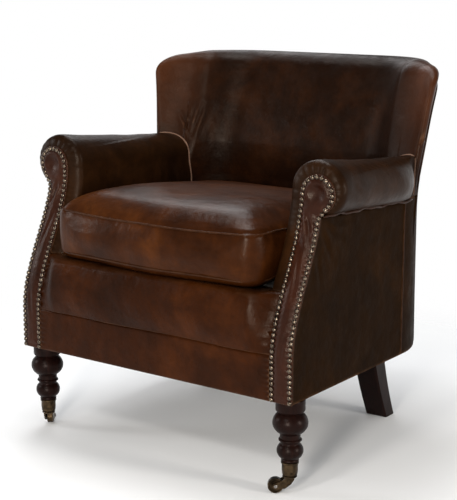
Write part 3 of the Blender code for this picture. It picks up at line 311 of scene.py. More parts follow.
def slab(name, front, back, mat, side=1, angle=None):
    """Closed sheet between a front grid and a back grid of the same size, mirrored for side -1."""
    nu, nv = front.shape[:2]
    verts = np.concatenate([front.reshape(-1, 3), back.reshape(-1, 3)]) * (side, 1, 1)
    off = nu * nv
    faces = grid_faces(nu, nv) + [tuple(reversed(f)) for f in grid_faces(nu, nv, off)]
    rim = [(i, 0) for i in range(nu)] + [(nu - 1, j) for j in range(1, nv)]
    rim += [(i, nv - 1) for i in range(nu - 2, -1, -1)] + [(0, j) for j in range(nv - 2, 0, -1)]
    ids = [i * nv + j for i, j in rim]
    for a, b in zip(ids, ids[1:] + ids[:1]):
        faces.append((a, b, off + b, off + a))
    return make(name, verts, faces, mat, "chair", angle)


def tube(name, path, radius, mat, closed=False):
    """Round cord along a path of points, with rounded ends."""
    path = np.asarray(path, float)
    n, sides = len(path), 10
    ahead = np.roll(path, -1, 0) - np.roll(path, 1, 0)
    if not closed:
        ahead[0], ahead[-1] = path[1] - path[0], path[-1] - path[-2]
    ahead /= np.linalg.norm(ahead, axis=1, keepdims=True)
    across = np.cross(ahead[0], (0.3, 0.5, 0.8))
    a = (np.arange(sides) * 2 * math.pi / sides)[:, None]
    rings = []
    for i in range(n):
        across = across - ahead[i] * (across @ ahead[i])
        across /= np.linalg.norm(across)
        r = radius if closed else radius * min(1.0, 0.35 + 0.35 * min(i, n - 1 - i))
        rings.append(path[i] + r * (np.cos(a) * across + np.sin(a) * np.cross(ahead[i], across)))
    R = np.array(rings)
    faces = grid_faces(n, sides, wrap_v=True, wrap_u=closed)
    if not closed:
        faces += [tuple(range(sides)), tuple(range((n - 1) * sides, n * sides))]
    return make(name, R.reshape(-1, 3), faces, mat, "chair")


def resample(path, step=None, count=None, closed=False):
    """Points at an even spacing along a path, by their distance or their number."""
    path = np.asarray(path, float)
    if closed:
        path = np.vstack([path, path[:1]])
    d = np.concatenate([[0], np.cumsum(np.linalg.norm(np.diff(path, axis=0), axis=1))])
    t = spread(0, d[-1], count or max(2, round(d[-1] / step) + 1))
    out = np.stack([np.interp(t, d, column) for column in path.T], 1)
    return out[:-1] if closed else out


def soften(path, rounds):
    path = np.array(path, float)
    for _ in range(rounds):
        path[1:-1] = (path[:-2] + 2 * path[1:-1] + path[2:]) / 4
    return path


# Materials

def new_material(name):
    mat = bpy.data.materials.new(name)
    mat.use_nodes = True
    tree = mat.node_tree
    return mat, tree, tree.nodes["Principled BSDF"]


def plug(socket, value):
    """Put a number or a colour on a socket, or link an output to it."""
    if isinstance(value, bpy.types.NodeSocket):
        socket.id_data.links.new(value, socket)
    elif socket.type == "RGBA":
        socket.default_value = (*value, 1)
    else:
        socket.default_value = value


def fill(node, **values):
    """Each value goes to the input of its name, or else to the node's own setting."""
    for key, value in values.items():
        name = key.replace("_", " ")
        if name in node.inputs.keys():
            plug(node.inputs[name], value)
        else:
            setattr(node, key, value)
    return node


def add(tree, kind, **values):
    return fill(tree.nodes.new(kind), **values)


def wire(node, *values):
    """The same for a node whose inputs share a name, in the order of its inputs."""
    for socket, value in zip(node.inputs, values):
        plug(socket, value)
    return node.outputs[0]


def calc(operation, *values):
    return wire(add(values[0].id_data, "ShaderNodeMath", operation=operation), *values)


def ramp(source, stops):
    """Colours or greys between stops, each given as (place, colour or grey)."""
    node = add(source.id_data, "ShaderNodeValToRGB", Fac=source)
    elements = node.color_ramp.elements
    while len(elements) < len(stops):
        elements.new(0.5)
    for element, (at, colour) in zip(elements, stops):
        element.position = at
        element.color = (*colour, 1) if isinstance(colour, tuple) else (colour, colour, colour, 1)
    return node.outputs[0]


def mix(kind, factor, a, b):
    node = add(a.id_data, "ShaderNodeMix", data_type="RGBA", blend_type=kind)
    for index, value in ((0, factor), (6, a), (7, b)):
        plug(node.inputs[index], value)
    return node.outputs[2]


def rise(source, start, end, low=0.0, high=1.0):
    """Smooth change from low to high while the source goes from start to end."""
    return add(source.id_data, "ShaderNodeMapRange", interpolation_type="SMOOTHSTEP", Value=source,
               From_Min=start, From_Max=end, To_Min=low, To_Max=high).outputs[0]


def object_place(tree):
    return add(tree, "ShaderNodeTexCoord").outputs["Object"]


def scaled(place, scale):
    return add(place.id_data, "ShaderNodeMapping", Vector=place, Scale=scale).outputs[0]


def axes(place):
    return add(place.id_data, "ShaderNodeSeparateXYZ", Vector=place).outputs


def pointiness(tree):
    return add(tree, "ShaderNodeNewGeometry").outputs["Pointiness"]


def noise(place, scale, detail, roughness=0.5, distortion=0.0):
    return add(place.id_data, "ShaderNodeTexNoise", Vector=place, Scale=scale, Detail=detail,
               Roughness=roughness, Distortion=distortion).outputs[0]


def relief(height, strength, distance, **under):
    return add(height.id_data, "ShaderNodeBump", Height=height, Strength=strength, Distance=distance,
               **under).outputs[0]


def leather(name, dark, mid, warm, rough=0.4, patch=7.0, worn=(0.075, 0.034, 0.016), bump=1.0,
            shine=0.1, painted_wing_light=None, uneven=1.0, rear_matt=0.0):
    """Waxed hide: patchy and streaked, rubbed on its ridges, with painted shade darkening its creases.
    The upper outer wings go to the lighter colour given for them, as painted light, and the roughness grows
    by rear_matt towards the rear."""
    mat, tree, bsdf = new_material(name)
    place = object_place(tree)
    colour = ramp(noise(place, patch, 5, 0.62, 0.4), [(0.26, dark), (0.5, mid), (0.8, warm)])
    mottle = ramp(noise(place, 60, 6, 0.7), [(0.25, 0.62), (0.6, 1.15)])
    colour = mix("MULTIPLY", 0.55, colour, mottle)
    streaks = noise(scaled(place, (3.0, 3.0, 0.7)), 11, 4, 0.6)
    colour = mix("MULTIPLY", 0.5, colour, ramp(streaks, [(0.35, 0.7), (0.65, 1.12)]))
    edge = pointiness(tree)
    rub = ramp(edge, [(0.52, 0.0), (0.58, 1.0)])
    patches = ramp(noise(place, 45, 4, 0.6), [(0.4, 0.15), (0.62, 1.0)])
    colour = mix("MIX", mix("MULTIPLY", 1.0, rub, patches), colour, worn)
    # painted shade: darker where the surface is hollow, in creases and corners
    colour = mix("MULTIPLY", 0.85, colour, ramp(edge, [(0.43, 0.35), (0.49, 1.0)]))
    # painted light: the upper outer wings go lighter, so the back's centre stays darker as painted shade
    if painted_wing_light:
        x, _, z = axes(place)
        share = calc("MULTIPLY", rise(calc("ABSOLUTE", x), 0.21, 0.36), rise(z, 0.5, 0.76))
        patches = ramp(noise(place, 13, 5, 0.65), [(0.3, 0.25), (0.7, 1.0)])
        colour = mix("MIX", mix("MULTIPLY", 0.8, share, patches), colour, painted_wing_light)
    gloss = ramp(noise(place, 24, 5, 0.65), [(0.3, rough - 0.09 * uneven), (0.7, rough + 0.1 * uneven)])
    if rear_matt:
        gloss = calc("ADD", gloss, rise(axes(place)[1], -0.2, 0.1, high=rear_matt))
    cells = add(tree, "ShaderNodeTexVoronoi", feature="DISTANCE_TO_EDGE", Vector=place, Scale=620).outputs[0]
    pebble = relief(ramp(cells, [(0.0, 0.0), (0.22, 1.0)]), 0.1 * bump, 0.0006)
    soft = relief(noise(place, 170, 5, 0.62), 0.22 * bump, 0.0016, Normal=pebble)
    slow = relief(noise(place, 36, 3, 0.5), 0.3 * bump, 0.006, Normal=soft)
    fill(bsdf, Base_Color=colour, Roughness=gloss, Normal=slow, Specular_IOR_Level=shine,
         Specular_Tint=(1.0, 0.86, 0.74))
    return mat


def metal(name, dark, bright, rough, scale=60.0):
    mat, tree, bsdf = new_material(name)
    spots = noise(object_place(tree), scale, 5, 0.6)
    colour = ramp(spots, [(0.35, dark), (0.62, bright)])
    colour = mix("MULTIPLY", 0.8, colour, ramp(pointiness(tree), [(0.42, 0.25), (0.5, 1.0)]))
    fill(bsdf, Base_Color=colour, Metallic=1.0, Roughness=ramp(spots, [(0.3, rough + 0.12), (0.7, rough)]),
         Normal=relief(spots, 0.15, 0.0005))
    return mat


def wood(name, dark, light, rough, polished=False):
    """Timber with its grain along Z."""
    mat, tree, bsdf = new_material(name)
    grain = noise(scaled(object_place(tree), (14.0, 14.0, 1.6)), 9.0, 8, 0.65, 0.6)
    fill(bsdf, Base_Color=ramp(grain, [(0.3, dark), (0.7, light)]),
         Roughness=ramp(grain, [(0.3, rough + 0.08), (0.7, rough)]), Normal=relief(grain, 0.08, 0.0008))
    if polished:
        fill(bsdf, Specular_IOR_Level=0.09, Specular_Tint=(1.0, 0.84, 0.78))
    return mat


def woven(name, dark, light, scale):
    mat, tree, bsdf = new_material(name)
    place = object_place(tree)
    warp, weft = [add(tree, "ShaderNodeTexWave", bands_direction=way, Vector=place, Scale=scale).outputs[0]
                  for way in "XY"]
    both = mix("MULTIPLY", 1.0, warp, weft)
    fill(bsdf, Base_Color=ramp(both, [(0.0, dark), (1.0, light)]), Roughness=0.9,
         Normal=relief(both, 0.4, 0.0006))
    return mat


HIDE = leather("brown_leather", (0.0055, 0.0021, 0.0009), (0.013, 0.0043, 0.0016), (0.042, 0.0125, 0.0032),
               0.34)
# the back's leather is painted lighter on its upper wings, as painted light
BACK = leather("back_leather", (0.005, 0.0018, 0.0007), (0.01, 0.0034, 0.0013), (0.03, 0.009, 0.0024), 0.36,
               shine=0.075, painted_wing_light=(0.066, 0.0205, 0.0078))
ARM = leather("arm_leather", (0.007, 0.0027, 0.001), (0.015, 0.0056, 0.0018), (0.036, 0.0125, 0.0034), 0.36,
              bump=0.6, shine=0.075)
SIDE = leather("side_leather", (0.008, 0.0034, 0.0009), (0.013, 0.0052, 0.0012), (0.026, 0.0095, 0.002), 0.45,
               shine=0.012)
FACE = leather("facing_leather", (0.01, 0.003, 0.0017), (0.026, 0.0074, 0.0036), (0.058, 0.0175, 0.0075),
               0.29, shine=0.13)
SEAT = leather("cushion_leather", (0.014, 0.0038, 0.001), (0.036, 0.0094, 0.0018), (0.08, 0.0225, 0.0036),
               0.31, bump=0.7, shine=0.085, uneven=0.4, rear_matt=0.22)
WELT = leather("welt_leather", (0.008, 0.0026, 0.0012), (0.02, 0.0065, 0.0028), (0.036, 0.0125, 0.0055),
               0.38, 30, worn=(0.04, 0.017, 0.009))
# lighter cord: partly wear on the piping, partly a painted highlight along it
PIPING = leather("worn_piping_with_painted_highlight", (0.05, 0.024, 0.014), (0.11, 0.058, 0.036), (0.19, 0.11, 0.075), 0.4, 30,
                 worn=(0.22, 0.13, 0.09))
SEAT_WELT = leather("cushion_welt", (0.012, 0.004, 0.0016), (0.026, 0.008, 0.0026), (0.048, 0.016, 0.005),
                    0.4, 30, worn=(0.06, 0.025, 0.011))
RAIL = leather("rail_leather", (0.011, 0.0029, 0.0006), (0.026, 0.0062, 0.001), (0.064, 0.016, 0.0024), 0.31,
               shine=0.075)
MAHOGANY = wood("dark_mahogany", (0.003, 0.0014, 0.0011), (0.013, 0.0042, 0.003), 0.3, polished=True)
BEECH = wood("beech_frame", (0.3, 0.17, 0.08), (0.52, 0.33, 0.17), 0.55)
BRASS = metal("castor_brass", (0.016, 0.011, 0.007), (0.1, 0.066, 0.036), 0.32)
NAIL = metal("nail_brass", (0.035, 0.026, 0.019), (0.2, 0.155, 0.115), 0.24, 220.0)
STEEL = metal("pin_steel", (0.1, 0.09, 0.085), (0.34, 0.32, 0.3), 0.32)
JUTE = woven("jute_webbing", (0.16, 0.105, 0.05), (0.42, 0.3, 0.16), 260)
FELT = woven("deck_felt", (0.02, 0.018, 0.016), (0.07, 0.062, 0.055), 700)
CAMBRIC = woven("black_cambric", (0.006, 0.006, 0.006), (0.022, 0.021, 0.021), 900)
BY_SLOT = {"leather": HIDE, "cushion_leather": SEAT, "welt": WELT, "mahogany": MAHOGANY, "beech": BEECH,
           "castor_brass": BRASS, "nail_brass": NAIL, "steel": STEEL, "jute": JUTE, "felt": FELT,
           "cambric": CAMBRIC}

for part in frame["record"]["subparts"]:
    node_materials = NODES[part["node"]].data.materials
    node_materials.clear()
    node_materials.append(BY_SLOT[part["material_slot"]])


# Back: padded shell with wings, folds in the corner beside the far arm, and its outer panel.

def back_shell():
    wing_edge = 0.014 * (1 - np.cos(spread(0, math.pi / 2, 9)))
    wing_edge[0] = 0.00008
    half = np.concatenate([wing_edge, spread(0.0145, WRAP - 0.0004, 6), spread(WRAP, 0.052, 9),
                           spread(0.0525, WING_S + ARC, 56), spread(WING_S + ARC, TOTAL, 34)[1:]])
    turn = spread(0, math.pi, 21)
    # rows of a ring: up the skirt, up the strip above the welt, over the crest, down the inner face
    skirt, strip, over, down = 34, 8, 21, 91
    first = skirt + strip
    rings = []
    for side, s in both_sides(half):
        top = float(crest_height(s))
        deep = float(thickness(top - 0.0403, s)) / 2
        shoulder = top - deep
        low = SKIRT_Z if s < 0.052 else DECK_Z
        seam = min(float(hood_height(s)), shoulder - 0.002) if s >= WRAP else (low + shoulder) / 2
        wrap = 0.0 if s < WRAP else min(0.034, float(thickness(0, s)) - 0.01)
        inner_z = spread(shoulder, low, down + 1)[1:]
        swell = np.sin(np.pi * np.clip((inner_z - 0.5) / 0.25, 0, 1))
        swell *= float(smooth(s, WRAP, WRAP + ARC * 0.6))
        inset = np.concatenate([np.full(skirt, wrap), np.zeros(strip), deep - deep * np.cos(turn),
                                thickness(inner_z, s) + 0.012 * swell])
        z = np.concatenate([spread(low, seam, skirt), spread(seam, shoulder, strip + 1)[:-1],
                            np.full(over, shoulder), inner_z])
        lift = np.concatenate([np.zeros(first), deep * np.sin(turn), np.zeros(down)])
        middle = thickness(z, s) / 2
        full = math.sqrt(1 - (1 - min(1.0, s / 0.014)) ** 2)
        soft = math.sqrt(1 - (1 - min(1.0, (s + 0.0002) / 0.036)) ** 2)
        turned = np.concatenate([np.zeros(first), (1 - np.cos(turn)) / 2, np.ones(down)])
        x, y = plan(s, middle + (inset - middle) * (full + (soft - full) * turned), z + lift)
        rings.append(np.stack([side * x, y, z + lift], 1))
    P = np.array(rings)
    N = normals(P)
    inner = np.zeros(P.shape[:2])
    inner[:, first:] = 1.0
    # the normal points to the sitter on the inner rows
    if N[len(P) // 2, -40][1] > 0:
        N = -N
    body = inner * smooth(P[..., 2], 0.4, 0.47)
    near_edge = np.array([s for _, s in both_sides(half)])
    body = body * smooth(near_edge, 0.01, 0.045)[:, None] * smooth(CREST_Z - P[..., 2], 0.012, 0.05)
    dents = wave(P, 17, 3) * 0.0006 + wave(P, 48, 5) * 0.00012
    P = P + N * (dents * body)[..., None]
    far = inner * (P[..., 0] < 0)
    folds = [
        ([(-0.273, 0.104, 0.664), (-0.269, 0.124, 0.632), (-0.264, 0.143, 0.598)], 0.0034, 0.0046),
        ([(-0.259, 0.158, 0.668), (-0.262, 0.152, 0.63), (-0.262, 0.151, 0.59)], 0.0032, 0.0034),
        ([(-0.247, 0.183, 0.667), (-0.254, 0.169, 0.627), (-0.261, 0.153, 0.59)], 0.004, 0.0034),
        ([(-0.226, 0.199, 0.662), (-0.244, 0.181, 0.617), (-0.258, 0.16, 0.572)], 0.007, 0.0012),
    ]
    for line, width, depth in folds:
        flat = P.reshape(-1, 3)
        near = [flat[np.argmin(np.linalg.norm(flat - q, axis=1))] for q in resample(line, 0.006)]
        line = soften(near, 2)
        pushed = fold(P, N, line, width, depth)
        P = P + (pushed - P) * far[..., None]
    ob = ring_body("back_leather", P, BACK)
    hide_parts("inside_back")
    return ob


def back_panel():
    s0 = (SEAM_Y + 0.0003 - WING_Y) / WING_SLOPE
    corner = WRAP + 0.0012 + WING_CR * (1 - np.cos(spread(0.25, 1.57, 7)))
    half = np.concatenate([spread(s0, WRAP + 0.001, 16), corner, spread(0.066, WING_S + ARC, 34),
                           spread(WING_S + ARC, TOTAL, 26)[1:]])
    rows, thick = 64, 0.0062
    outer, inner = [], []
    for side, s in both_sides(half):
        top = SKIRT_Z - 0.0003 if s < WRAP + 0.0011 else float(hood_height(s - 0.0012)) - 0.001
        z = spread(BASE_Z, top, rows)
        up = (z - BASE_Z) / (top - BASE_Z)
        hollow = 0.0018 * np.sin(np.pi * up) * float(smooth(s, 0.0, 0.1))
        roll = 0.0014 * rolled(np.minimum(z - BASE_Z, top - z), 0.006)
        for inset, grid in ((hollow + roll, outer), (thick, inner)):
            x, y = plan(s, inset, z)
            grid.append(np.stack([side * x, y, z], 1))
    outer, inner = np.array(outer), np.array(inner)
    ripple = wave(outer, 24, 11) * 0.0006 * np.sin(np.pi * spread(0, 1, rows))[None, :]
    outer = outer + normals(outer) * ripple[..., None]
    ob = slab("outside_back_leather", outer, inner, SIDE, angle=60)
    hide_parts("outside_back")


# Arms: the roll with its pleated front, the nailed facing and the panel below the roll.

def arm_outline():
    """Outer line of the cover in the plane of its section, with the matching line of the facing."""
    wall = [(ARM_X, z) for z in spread(DECK_Z, 0.52, 40)]
    roll = [(ROLL_X + ROLL_A * math.cos(a), ROLL_Z + ROLL_B * math.sin(a))
            for a in np.radians(spread(180, -50, 70))]
    lead = [(ARM_X + (roll[0][0] - ARM_X) * t * t * (3 - 2 * t), 0.52 + (roll[0][1] - 0.52) * t)
            for t in spread(0, 1, 14)[1:-1]]
    end = [(roll[-1][0] + (TUCK_X - roll[-1][0]) * t, roll[-1][1] + (TUCK_Z - roll[-1][1]) * t)
           for t in spread(0, 1, 7)[1:]]
    outer = resample(soften(wall + lead + roll + end, 6), count=150)
    reach = SCROLL_R - 0.001
    inner = []
    for x, z in outer:
        a = math.atan2(z - SCROLL_Z, x - SCROLL_X)
        if z < SCROLL_Z and x < SCROLL_X - 0.02:
            inner.append((FACING_X + 0.0012, z))
        else:
            inner.append((SCROLL_X + reach * math.cos(a), SCROLL_Z + reach * math.sin(a)))
    return outer, soften(np.array(inner), 3)


def arm_cover(name, side):
    """Cover of one arm: its front edge turns in behind the facing, and its rear runs into the back."""
    outer, inner = arm_outline()
    out_x, out_z = outer.T
    rings = []
    turn_rows, run_rows, depth = 15, 89, 0.017
    for t in spread(0, math.pi / 2, turn_rows):
        share = math.sin(t)
        sec = inner + (outer - inner) * share
        y = facing_y(sec[:, 1]) + FACING_T * 0.9 + depth * (1 - math.cos(t))
        rings.append(np.stack([sec[:, 0], y, arm_z(sec[:, 1], y)], 1))
    start = facing_y(out_z) + FACING_T * 0.9 + depth
    rear = 0.19 - (0.19 - (WING_Y + 0.022)) * smooth(out_x, FACING_X, 0.3335)
    for share in spread(0, 1, run_rows + 1)[1:]:
        y = start + (rear - start) * share
        past = np.clip((y - TAPER_Y0) / (TAPER_Y1 - TAPER_Y0), 0, 0.999)
        narrowed = KEEP_X + (out_x - KEEP_X) * (1 - past ** 2) ** 0.8
        x = np.where(out_x > KEEP_X, narrowed, out_x)
        rings.append(np.stack([x, y, arm_z(out_z, y)], 1))
    P = np.array(rings)
    N = normals(P)
    if N[60, 20][0] > 0:
        N = -N
    # gathered pleats round the front of the roll, deepest beside the nails
    front = np.concatenate([spread(0, 1, turn_rows), 1 + spread(0, 1, run_rows + 1)[1:] * 10])[:, None]
    on_roll = smooth(out_z, 0.535, 0.56)[None, :]
    angle = np.arctan2(out_z - SCROLL_Z, out_x - SCROLL_X)
    phase = angle * 9.5 + 0.9 * np.sin(angle * 3.1 + side)
    pleat = (np.abs(np.sin(phase)) ** 0.6 - 0.75)[None, :]
    reach = bell(front - 0.3, 0.42)
    P = P + N * (0.0017 * pleat * reach * on_roll)[..., None]
    # puckers at the nails down the wall
    on_wall = 1 - on_roll
    pinch = np.cos(out_z / NAIL_PITCH * 2 * math.pi)[None, :]
    P = P + N * (0.00045 * pinch * bell(front, 0.35) * on_wall)[..., None]
    dents = wave(P, 28, 21 + side) * 0.0009 + wave(P, 70, 23) * 0.0003
    P = P + N * (dents * smooth(front, 0.6, 1.4))[..., None]
    sag = 0.0016 * np.sin(np.clip((P[..., 1] + 0.2) / 0.3, 0, 1) * np.pi) * on_roll
    P[..., 2] -= sag * (P[..., 2] > 0.6)
    for line, width, deep in (
            ([(0.276, 0.075, 0.618), (0.3, 0.06, 0.622), (0.33, 0.07, 0.622)], 0.006, 0.0012),
            ([(0.262, 0.08, 0.54), (0.262, 0.1, 0.5), (0.262, 0.11, 0.45)], 0.006, 0.0014),
            ([(0.384, -0.19, 0.575), (0.378, -0.15, 0.555), (0.368, -0.1, 0.54)], 0.005, 0.001)):
        P = fold(P, N, line, width, deep)
    # inner skin, closing the cover round the arm's timber
    core_z = np.where(out_x < 0.3, np.minimum(out_z, 0.546), np.clip(out_z, TUCK_Z, 0.546))
    C = P.copy()
    C[..., 0] = np.clip(out_x, 0.3, 0.339)
    C[..., 2] = arm_z(core_z, P[..., 1])
    C[..., 1] = np.maximum(P[..., 1], facing_y(C[..., 2]) + FACING_T)
    ob = slab(f"{name}_arm_leather", P, C, ARM, side)
    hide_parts(f"{name}_arm_cover")
    return P * (side, 1, 1)


NECK_Z = SCROLL_Z - math.sqrt(SCROLL_R ** 2 - (HALF - SCROLL_X) ** 2)


def facing_edges(z):
    bow = np.sqrt(np.maximum(0, SCROLL_R ** 2 - (z - SCROLL_Z) ** 2))
    left = np.where(z < SCROLL_Z, FACING_X, np.maximum(FACING_X, SCROLL_X - bow))
    right = np.where(z <= NECK_Z, HALF, SCROLL_X + bow)
    return left, right


def nail_path():
    """Centres of the nail heads of one facing: up its inner edge, over the scroll, down its outer edge."""
    inner_x, outer_x, low = 0.2965, 0.336, 0.1905
    ring = SCROLL_R - 0.0055
    line = [(inner_x, z) for z in spread(low, 0.525, 60)]
    line += [(inner_x + 0.0025 * t, 0.525 + 0.04 * t) for t in spread(0, 1, 8)[1:]]
    line += [(SCROLL_X + ring * math.cos(a), SCROLL_Z + ring * math.sin(a))
             for a in np.radians(spread(180, -48, 40))[1:]]
    bend_x, bend_z, straight_z = 0.3524, 0.5412, 0.519
    line += [(bend_x + (outer_x - bend_x) * t, bend_z + (straight_z - bend_z) * t)
             for t in spread(0, 1, 6)[1:]]
    line += [(outer_x, z) for z in spread(straight_z, low, 60)[1:]]
    x, z = np.array(line).T
    return resample(np.stack([x, facing_y(z), z], 1), NAIL_PITCH)


def facing(name, side):
    """Leather strip on the front of an arm, drawn in at each nail and dished in the scroll."""
    start = math.asin((NECK_Z - SCROLL_Z) / SCROLL_R)
    scroll = SCROLL_Z + SCROLL_R * np.sin(spread(start, math.radians(86), 70))
    z = np.concatenate([spread(BASE_Z, NECK_Z, 230), scroll[1:]])
    left, right = facing_edges(z)
    columns = 41
    u = (1 - np.cos(spread(0, math.pi, columns))) / 2
    X = left[:, None] + (right - left)[:, None] * u[None, :]
    Z = np.repeat(z[:, None], columns, 1)
    flat = np.stack([X, Z], -1)
    edge = np.minimum(X - left[:, None], right[:, None] - X)
    edge = np.minimum(edge, np.maximum(0, SCROLL_Z + SCROLL_R - Z) + 0.0004)
    edge = np.minimum(edge, Z - BASE_Z + 0.001)
    rim = -0.0016 * rolled(edge, 0.0035)
    pad = 0.0026 * smooth(edge, 0.004, 0.021)
    dish = -0.0056 * np.exp(-(((X - SCROLL_X) / 0.015) ** 2 + ((Z - SCROLL_Z - 0.003) / 0.016) ** 2))
    from_eye = np.hypot(X - SCROLL_X, Z - SCROLL_Z)
    ring = 0.0022 * bell(from_eye - 0.021, 0.006) * smooth(Z, 0.548, 0.562)
    P = np.stack([X, facing_y(Z), Z], -1)
    out = rim + pad + dish + ring
    nails = nail_path()
    pull = np.zeros(X.shape)
    for nx, _, nz in nails:
        d2 = (X - nx) ** 2 + (Z - nz) ** 2
        pull = np.maximum(pull, np.exp(-d2 / 0.0052 ** 2))
    out = out - 0.0016 * pull
    # short pulls from each nail towards the middle of the strip
    for nx, _, nz in nails:
        if nz < 0.53:
            across = 1 if nx < 0.316 else -1
            d, t = nearest_on(flat, [(nx, nz), (nx + across * 0.012, nz + 0.003)])
            out = out - 0.0011 * bell(d, 0.0019) * (1 - t)
    out = out + creases(flat, [
        ([(0.313, 0.53), (0.32, 0.505), (0.326, 0.475)], 0.004, 0.003),
        ([(0.306, 0.49), (0.312, 0.45), (0.32, 0.41), (0.323, 0.36)], 0.004, 0.0012),
        ([(0.325, 0.33), (0.318, 0.29), (0.314, 0.25)], 0.004, 0.001)], 0.7, 0.05)
    out = out + wave(P, 60, 31 + side) * 0.0003 * smooth(edge, 0.002, 0.008)
    slope = np.gradient(facing_y(z), z)[:, None]
    length = np.sqrt(1 + slope ** 2)
    P[..., 1] -= out / length
    P[..., 2] += out * slope / length * (edge > 0.002)
    B = np.stack([X, facing_y(Z) + FACING_T, Z], -1)
    ob = slab(f"{name}_facing_leather", P, B, FACE, side, angle=70)
    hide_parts(f"{name}_facing")
    return nails


def nail_heads(name, side, nails):
    """Domed heads along both edges and over the scroll, each a little off its neighbours."""
    rng = np.random.RandomState(40 + side)
    verts, faces = [], []
    rows, cols, dome = 5, 14, 0.003
    up = (np.arange(rows) / rows * math.pi / 2)[:, None, None]
    turn = (2 * math.pi * np.arange(cols) / cols)[:, None]
    for x, _, z in nails:
        x += rng.uniform(-0.0004, 0.0004)
        z += rng.uniform(-0.0004, 0.0004)
        slope = (facing_y(z + 0.001) - facing_y(z - 0.001)) / 0.002
        n = np.array([rng.uniform(-0.1, 0.1), -1.0, float(slope) + rng.uniform(-0.08, 0.08)])
        n /= np.linalg.norm(n)
        a = np.cross(n, (0, 0, 1.0))
        a /= np.linalg.norm(a)
        b = np.cross(n, a)
        centre = np.array([x, float(facing_y(z)), z]) - n * 0.0002
        r = 0.0047 * rng.uniform(0.97, 1.03)
        head = centre + r * np.cos(up) * (np.cos(turn) * a + np.sin(turn) * b) + dome * np.sin(up) * n
        base = len(verts)
        tip = base + rows * cols
        last = tip - cols
        verts += [*head.reshape(-1, 3), centre + dome * n]
        faces += grid_faces(rows, cols, base, wrap_v=True)
        faces += [(last + c, last + (c + 1) % cols, tip) for c in range(cols)]
        faces += [tuple(range(base, base + cols))]
    make(f"{name}_nail_heads", np.array(verts) * (side, 1, 1), faces, NAIL, "chair")


def side_panel(name, side):
    nz, ny, thick = 80, 90, 0.006
    out = np.zeros((nz, ny, 3))
    for i, share in enumerate(spread(0, 1, nz)):
        guess = BASE_Z + (TUCK_Z - BASE_Z) * share
        y = spread(float(facing_y(guess)) + FACING_T - 0.001, SEAM_Y - 0.0003, ny)
        z = BASE_Z + (tuck_z(y) - 0.0003 - BASE_Z) * share
        out[i] = np.stack([np.full(ny, HALF), y, z], 1)
    back = out.copy()
    back[..., 0] -= thick
    up = spread(0, 1, nz)[:, None]
    along = spread(0, 1, ny)[None, :]
    field = np.sin(np.pi * up) ** 0.5 * np.sin(np.pi * along) ** 0.5
    puff = -0.0016 * field + wave(out, 22, 51 + side) * 0.0008 * field
    rim = -0.0012 * rolled(out[..., 2] - BASE_Z, 0.005)
    rim = rim - 0.005 * bell(tuck_z(out[..., 1]) - out[..., 2], 0.009)
    puff = puff + creases(out[..., 1:], [
        ([(-0.222, 0.512), (-0.19, 0.487), (-0.15, 0.47)], 0.006, 0.0018),
        ([(-0.228, 0.497), (-0.205, 0.46), (-0.18, 0.425)], 0.006, 0.0015),
        ([(-0.215, 0.517), (-0.165, 0.505), (-0.11, 0.503)], 0.005, 0.0014),
        ([(-0.245, 0.46), (-0.235, 0.425), (-0.225, 0.38)], 0.006, 0.001),
        ([(-0.1, 0.512), (-0.06, 0.5), (-0.01, 0.498)], 0.006, 0.0009)], 0.6, 0.08)
    out[..., 0] += puff + rim
    ob = slab(f"{name}_side_leather", out, back, SIDE, side, angle=60)
    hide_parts(f"{name}_outside_arm")


# Front: the roll under the cushion with puckers at its ends, and the border below it.

BORDER_REAR_Y, LIP_REAR_Y = -0.3184, -0.3178
SHELF_REAR_Y, SHELF_LOW_Z = -0.262, 0.318


def front_roll():
    """Padded lip whose leather runs back over the deck's front edge, as a shelf, and down to the seam."""
    low = LIP_SEAM_Z + 0.0003
    u = spread(-1, 1, 260)
    u = np.sign(u) * (1 - (1 - np.abs(u)) ** 1.5)
    share = spread(0, 1, 60)
    z = low + (DECK_Z - 0.014 - low) * share
    swell = 0.0135 * np.sin(np.pi * np.minimum(1.0, 0.1 + share * 0.82)) ** 0.85
    end = facing_y(z) + 0.001
    rings = []
    for x in u * BORDER_REACH:
        ending = float(smooth(abs(x), ARM_X - 0.02, BORDER_REACH + 0.004))
        # puckers gather towards the facing at each end
        gather = math.exp(-((BORDER_REACH - abs(x)) / 0.016) ** 2)
        phase = share * 15.0 + (0.6 if x > 0 else 0.0) + 0.8 * np.sin(share * 4)
        puckers = 0.0022 * np.abs(np.sin(phase)) ** 0.7
        uneven = 0.001 * np.sin(x * 17) * np.sin(np.pi * share) + 0.0006 * np.sin(x * 41 + share * 5)
        middle = FRONT_Y - swell - uneven
        y = middle + (end - middle) * ending + gather * puckers
        top = y[-1]
        ring = [*zip(y, z), (top + 0.0016, DECK_Z - 0.009), (top + 0.005, DECK_Z - 0.004),
                (top + 0.01, DECK_Z - 0.0012), (top + 0.018, DECK_Z),
                (SHELF_REAR_Y, DECK_Z - 0.0003), (SHELF_REAR_Y, SHELF_LOW_Z), (LIP_REAR_Y, SHELF_LOW_Z),
                (max(LIP_REAR_Y, y[0] + 0.002), low)]
        rings.append([(x, *point) for point in ring])
    P = np.array(rings)
    drop = 0.0016 * np.sin(P[:, :, 0] * 9.0 + 0.5) + 0.0012 * np.sin(P[:, :, 0] * 23.0)
    near_seam = 1 - smooth(P[..., 2], LIP_SEAM_Z, LIP_SEAM_Z + 0.03)
    P[..., 2] += drop * near_seam * 0.6 * (P[..., 1] < BORDER_REAR_Y - 0.0001)
    ob = ring_body("front_roll_leather", P, RAIL)
    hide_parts("front_lip")


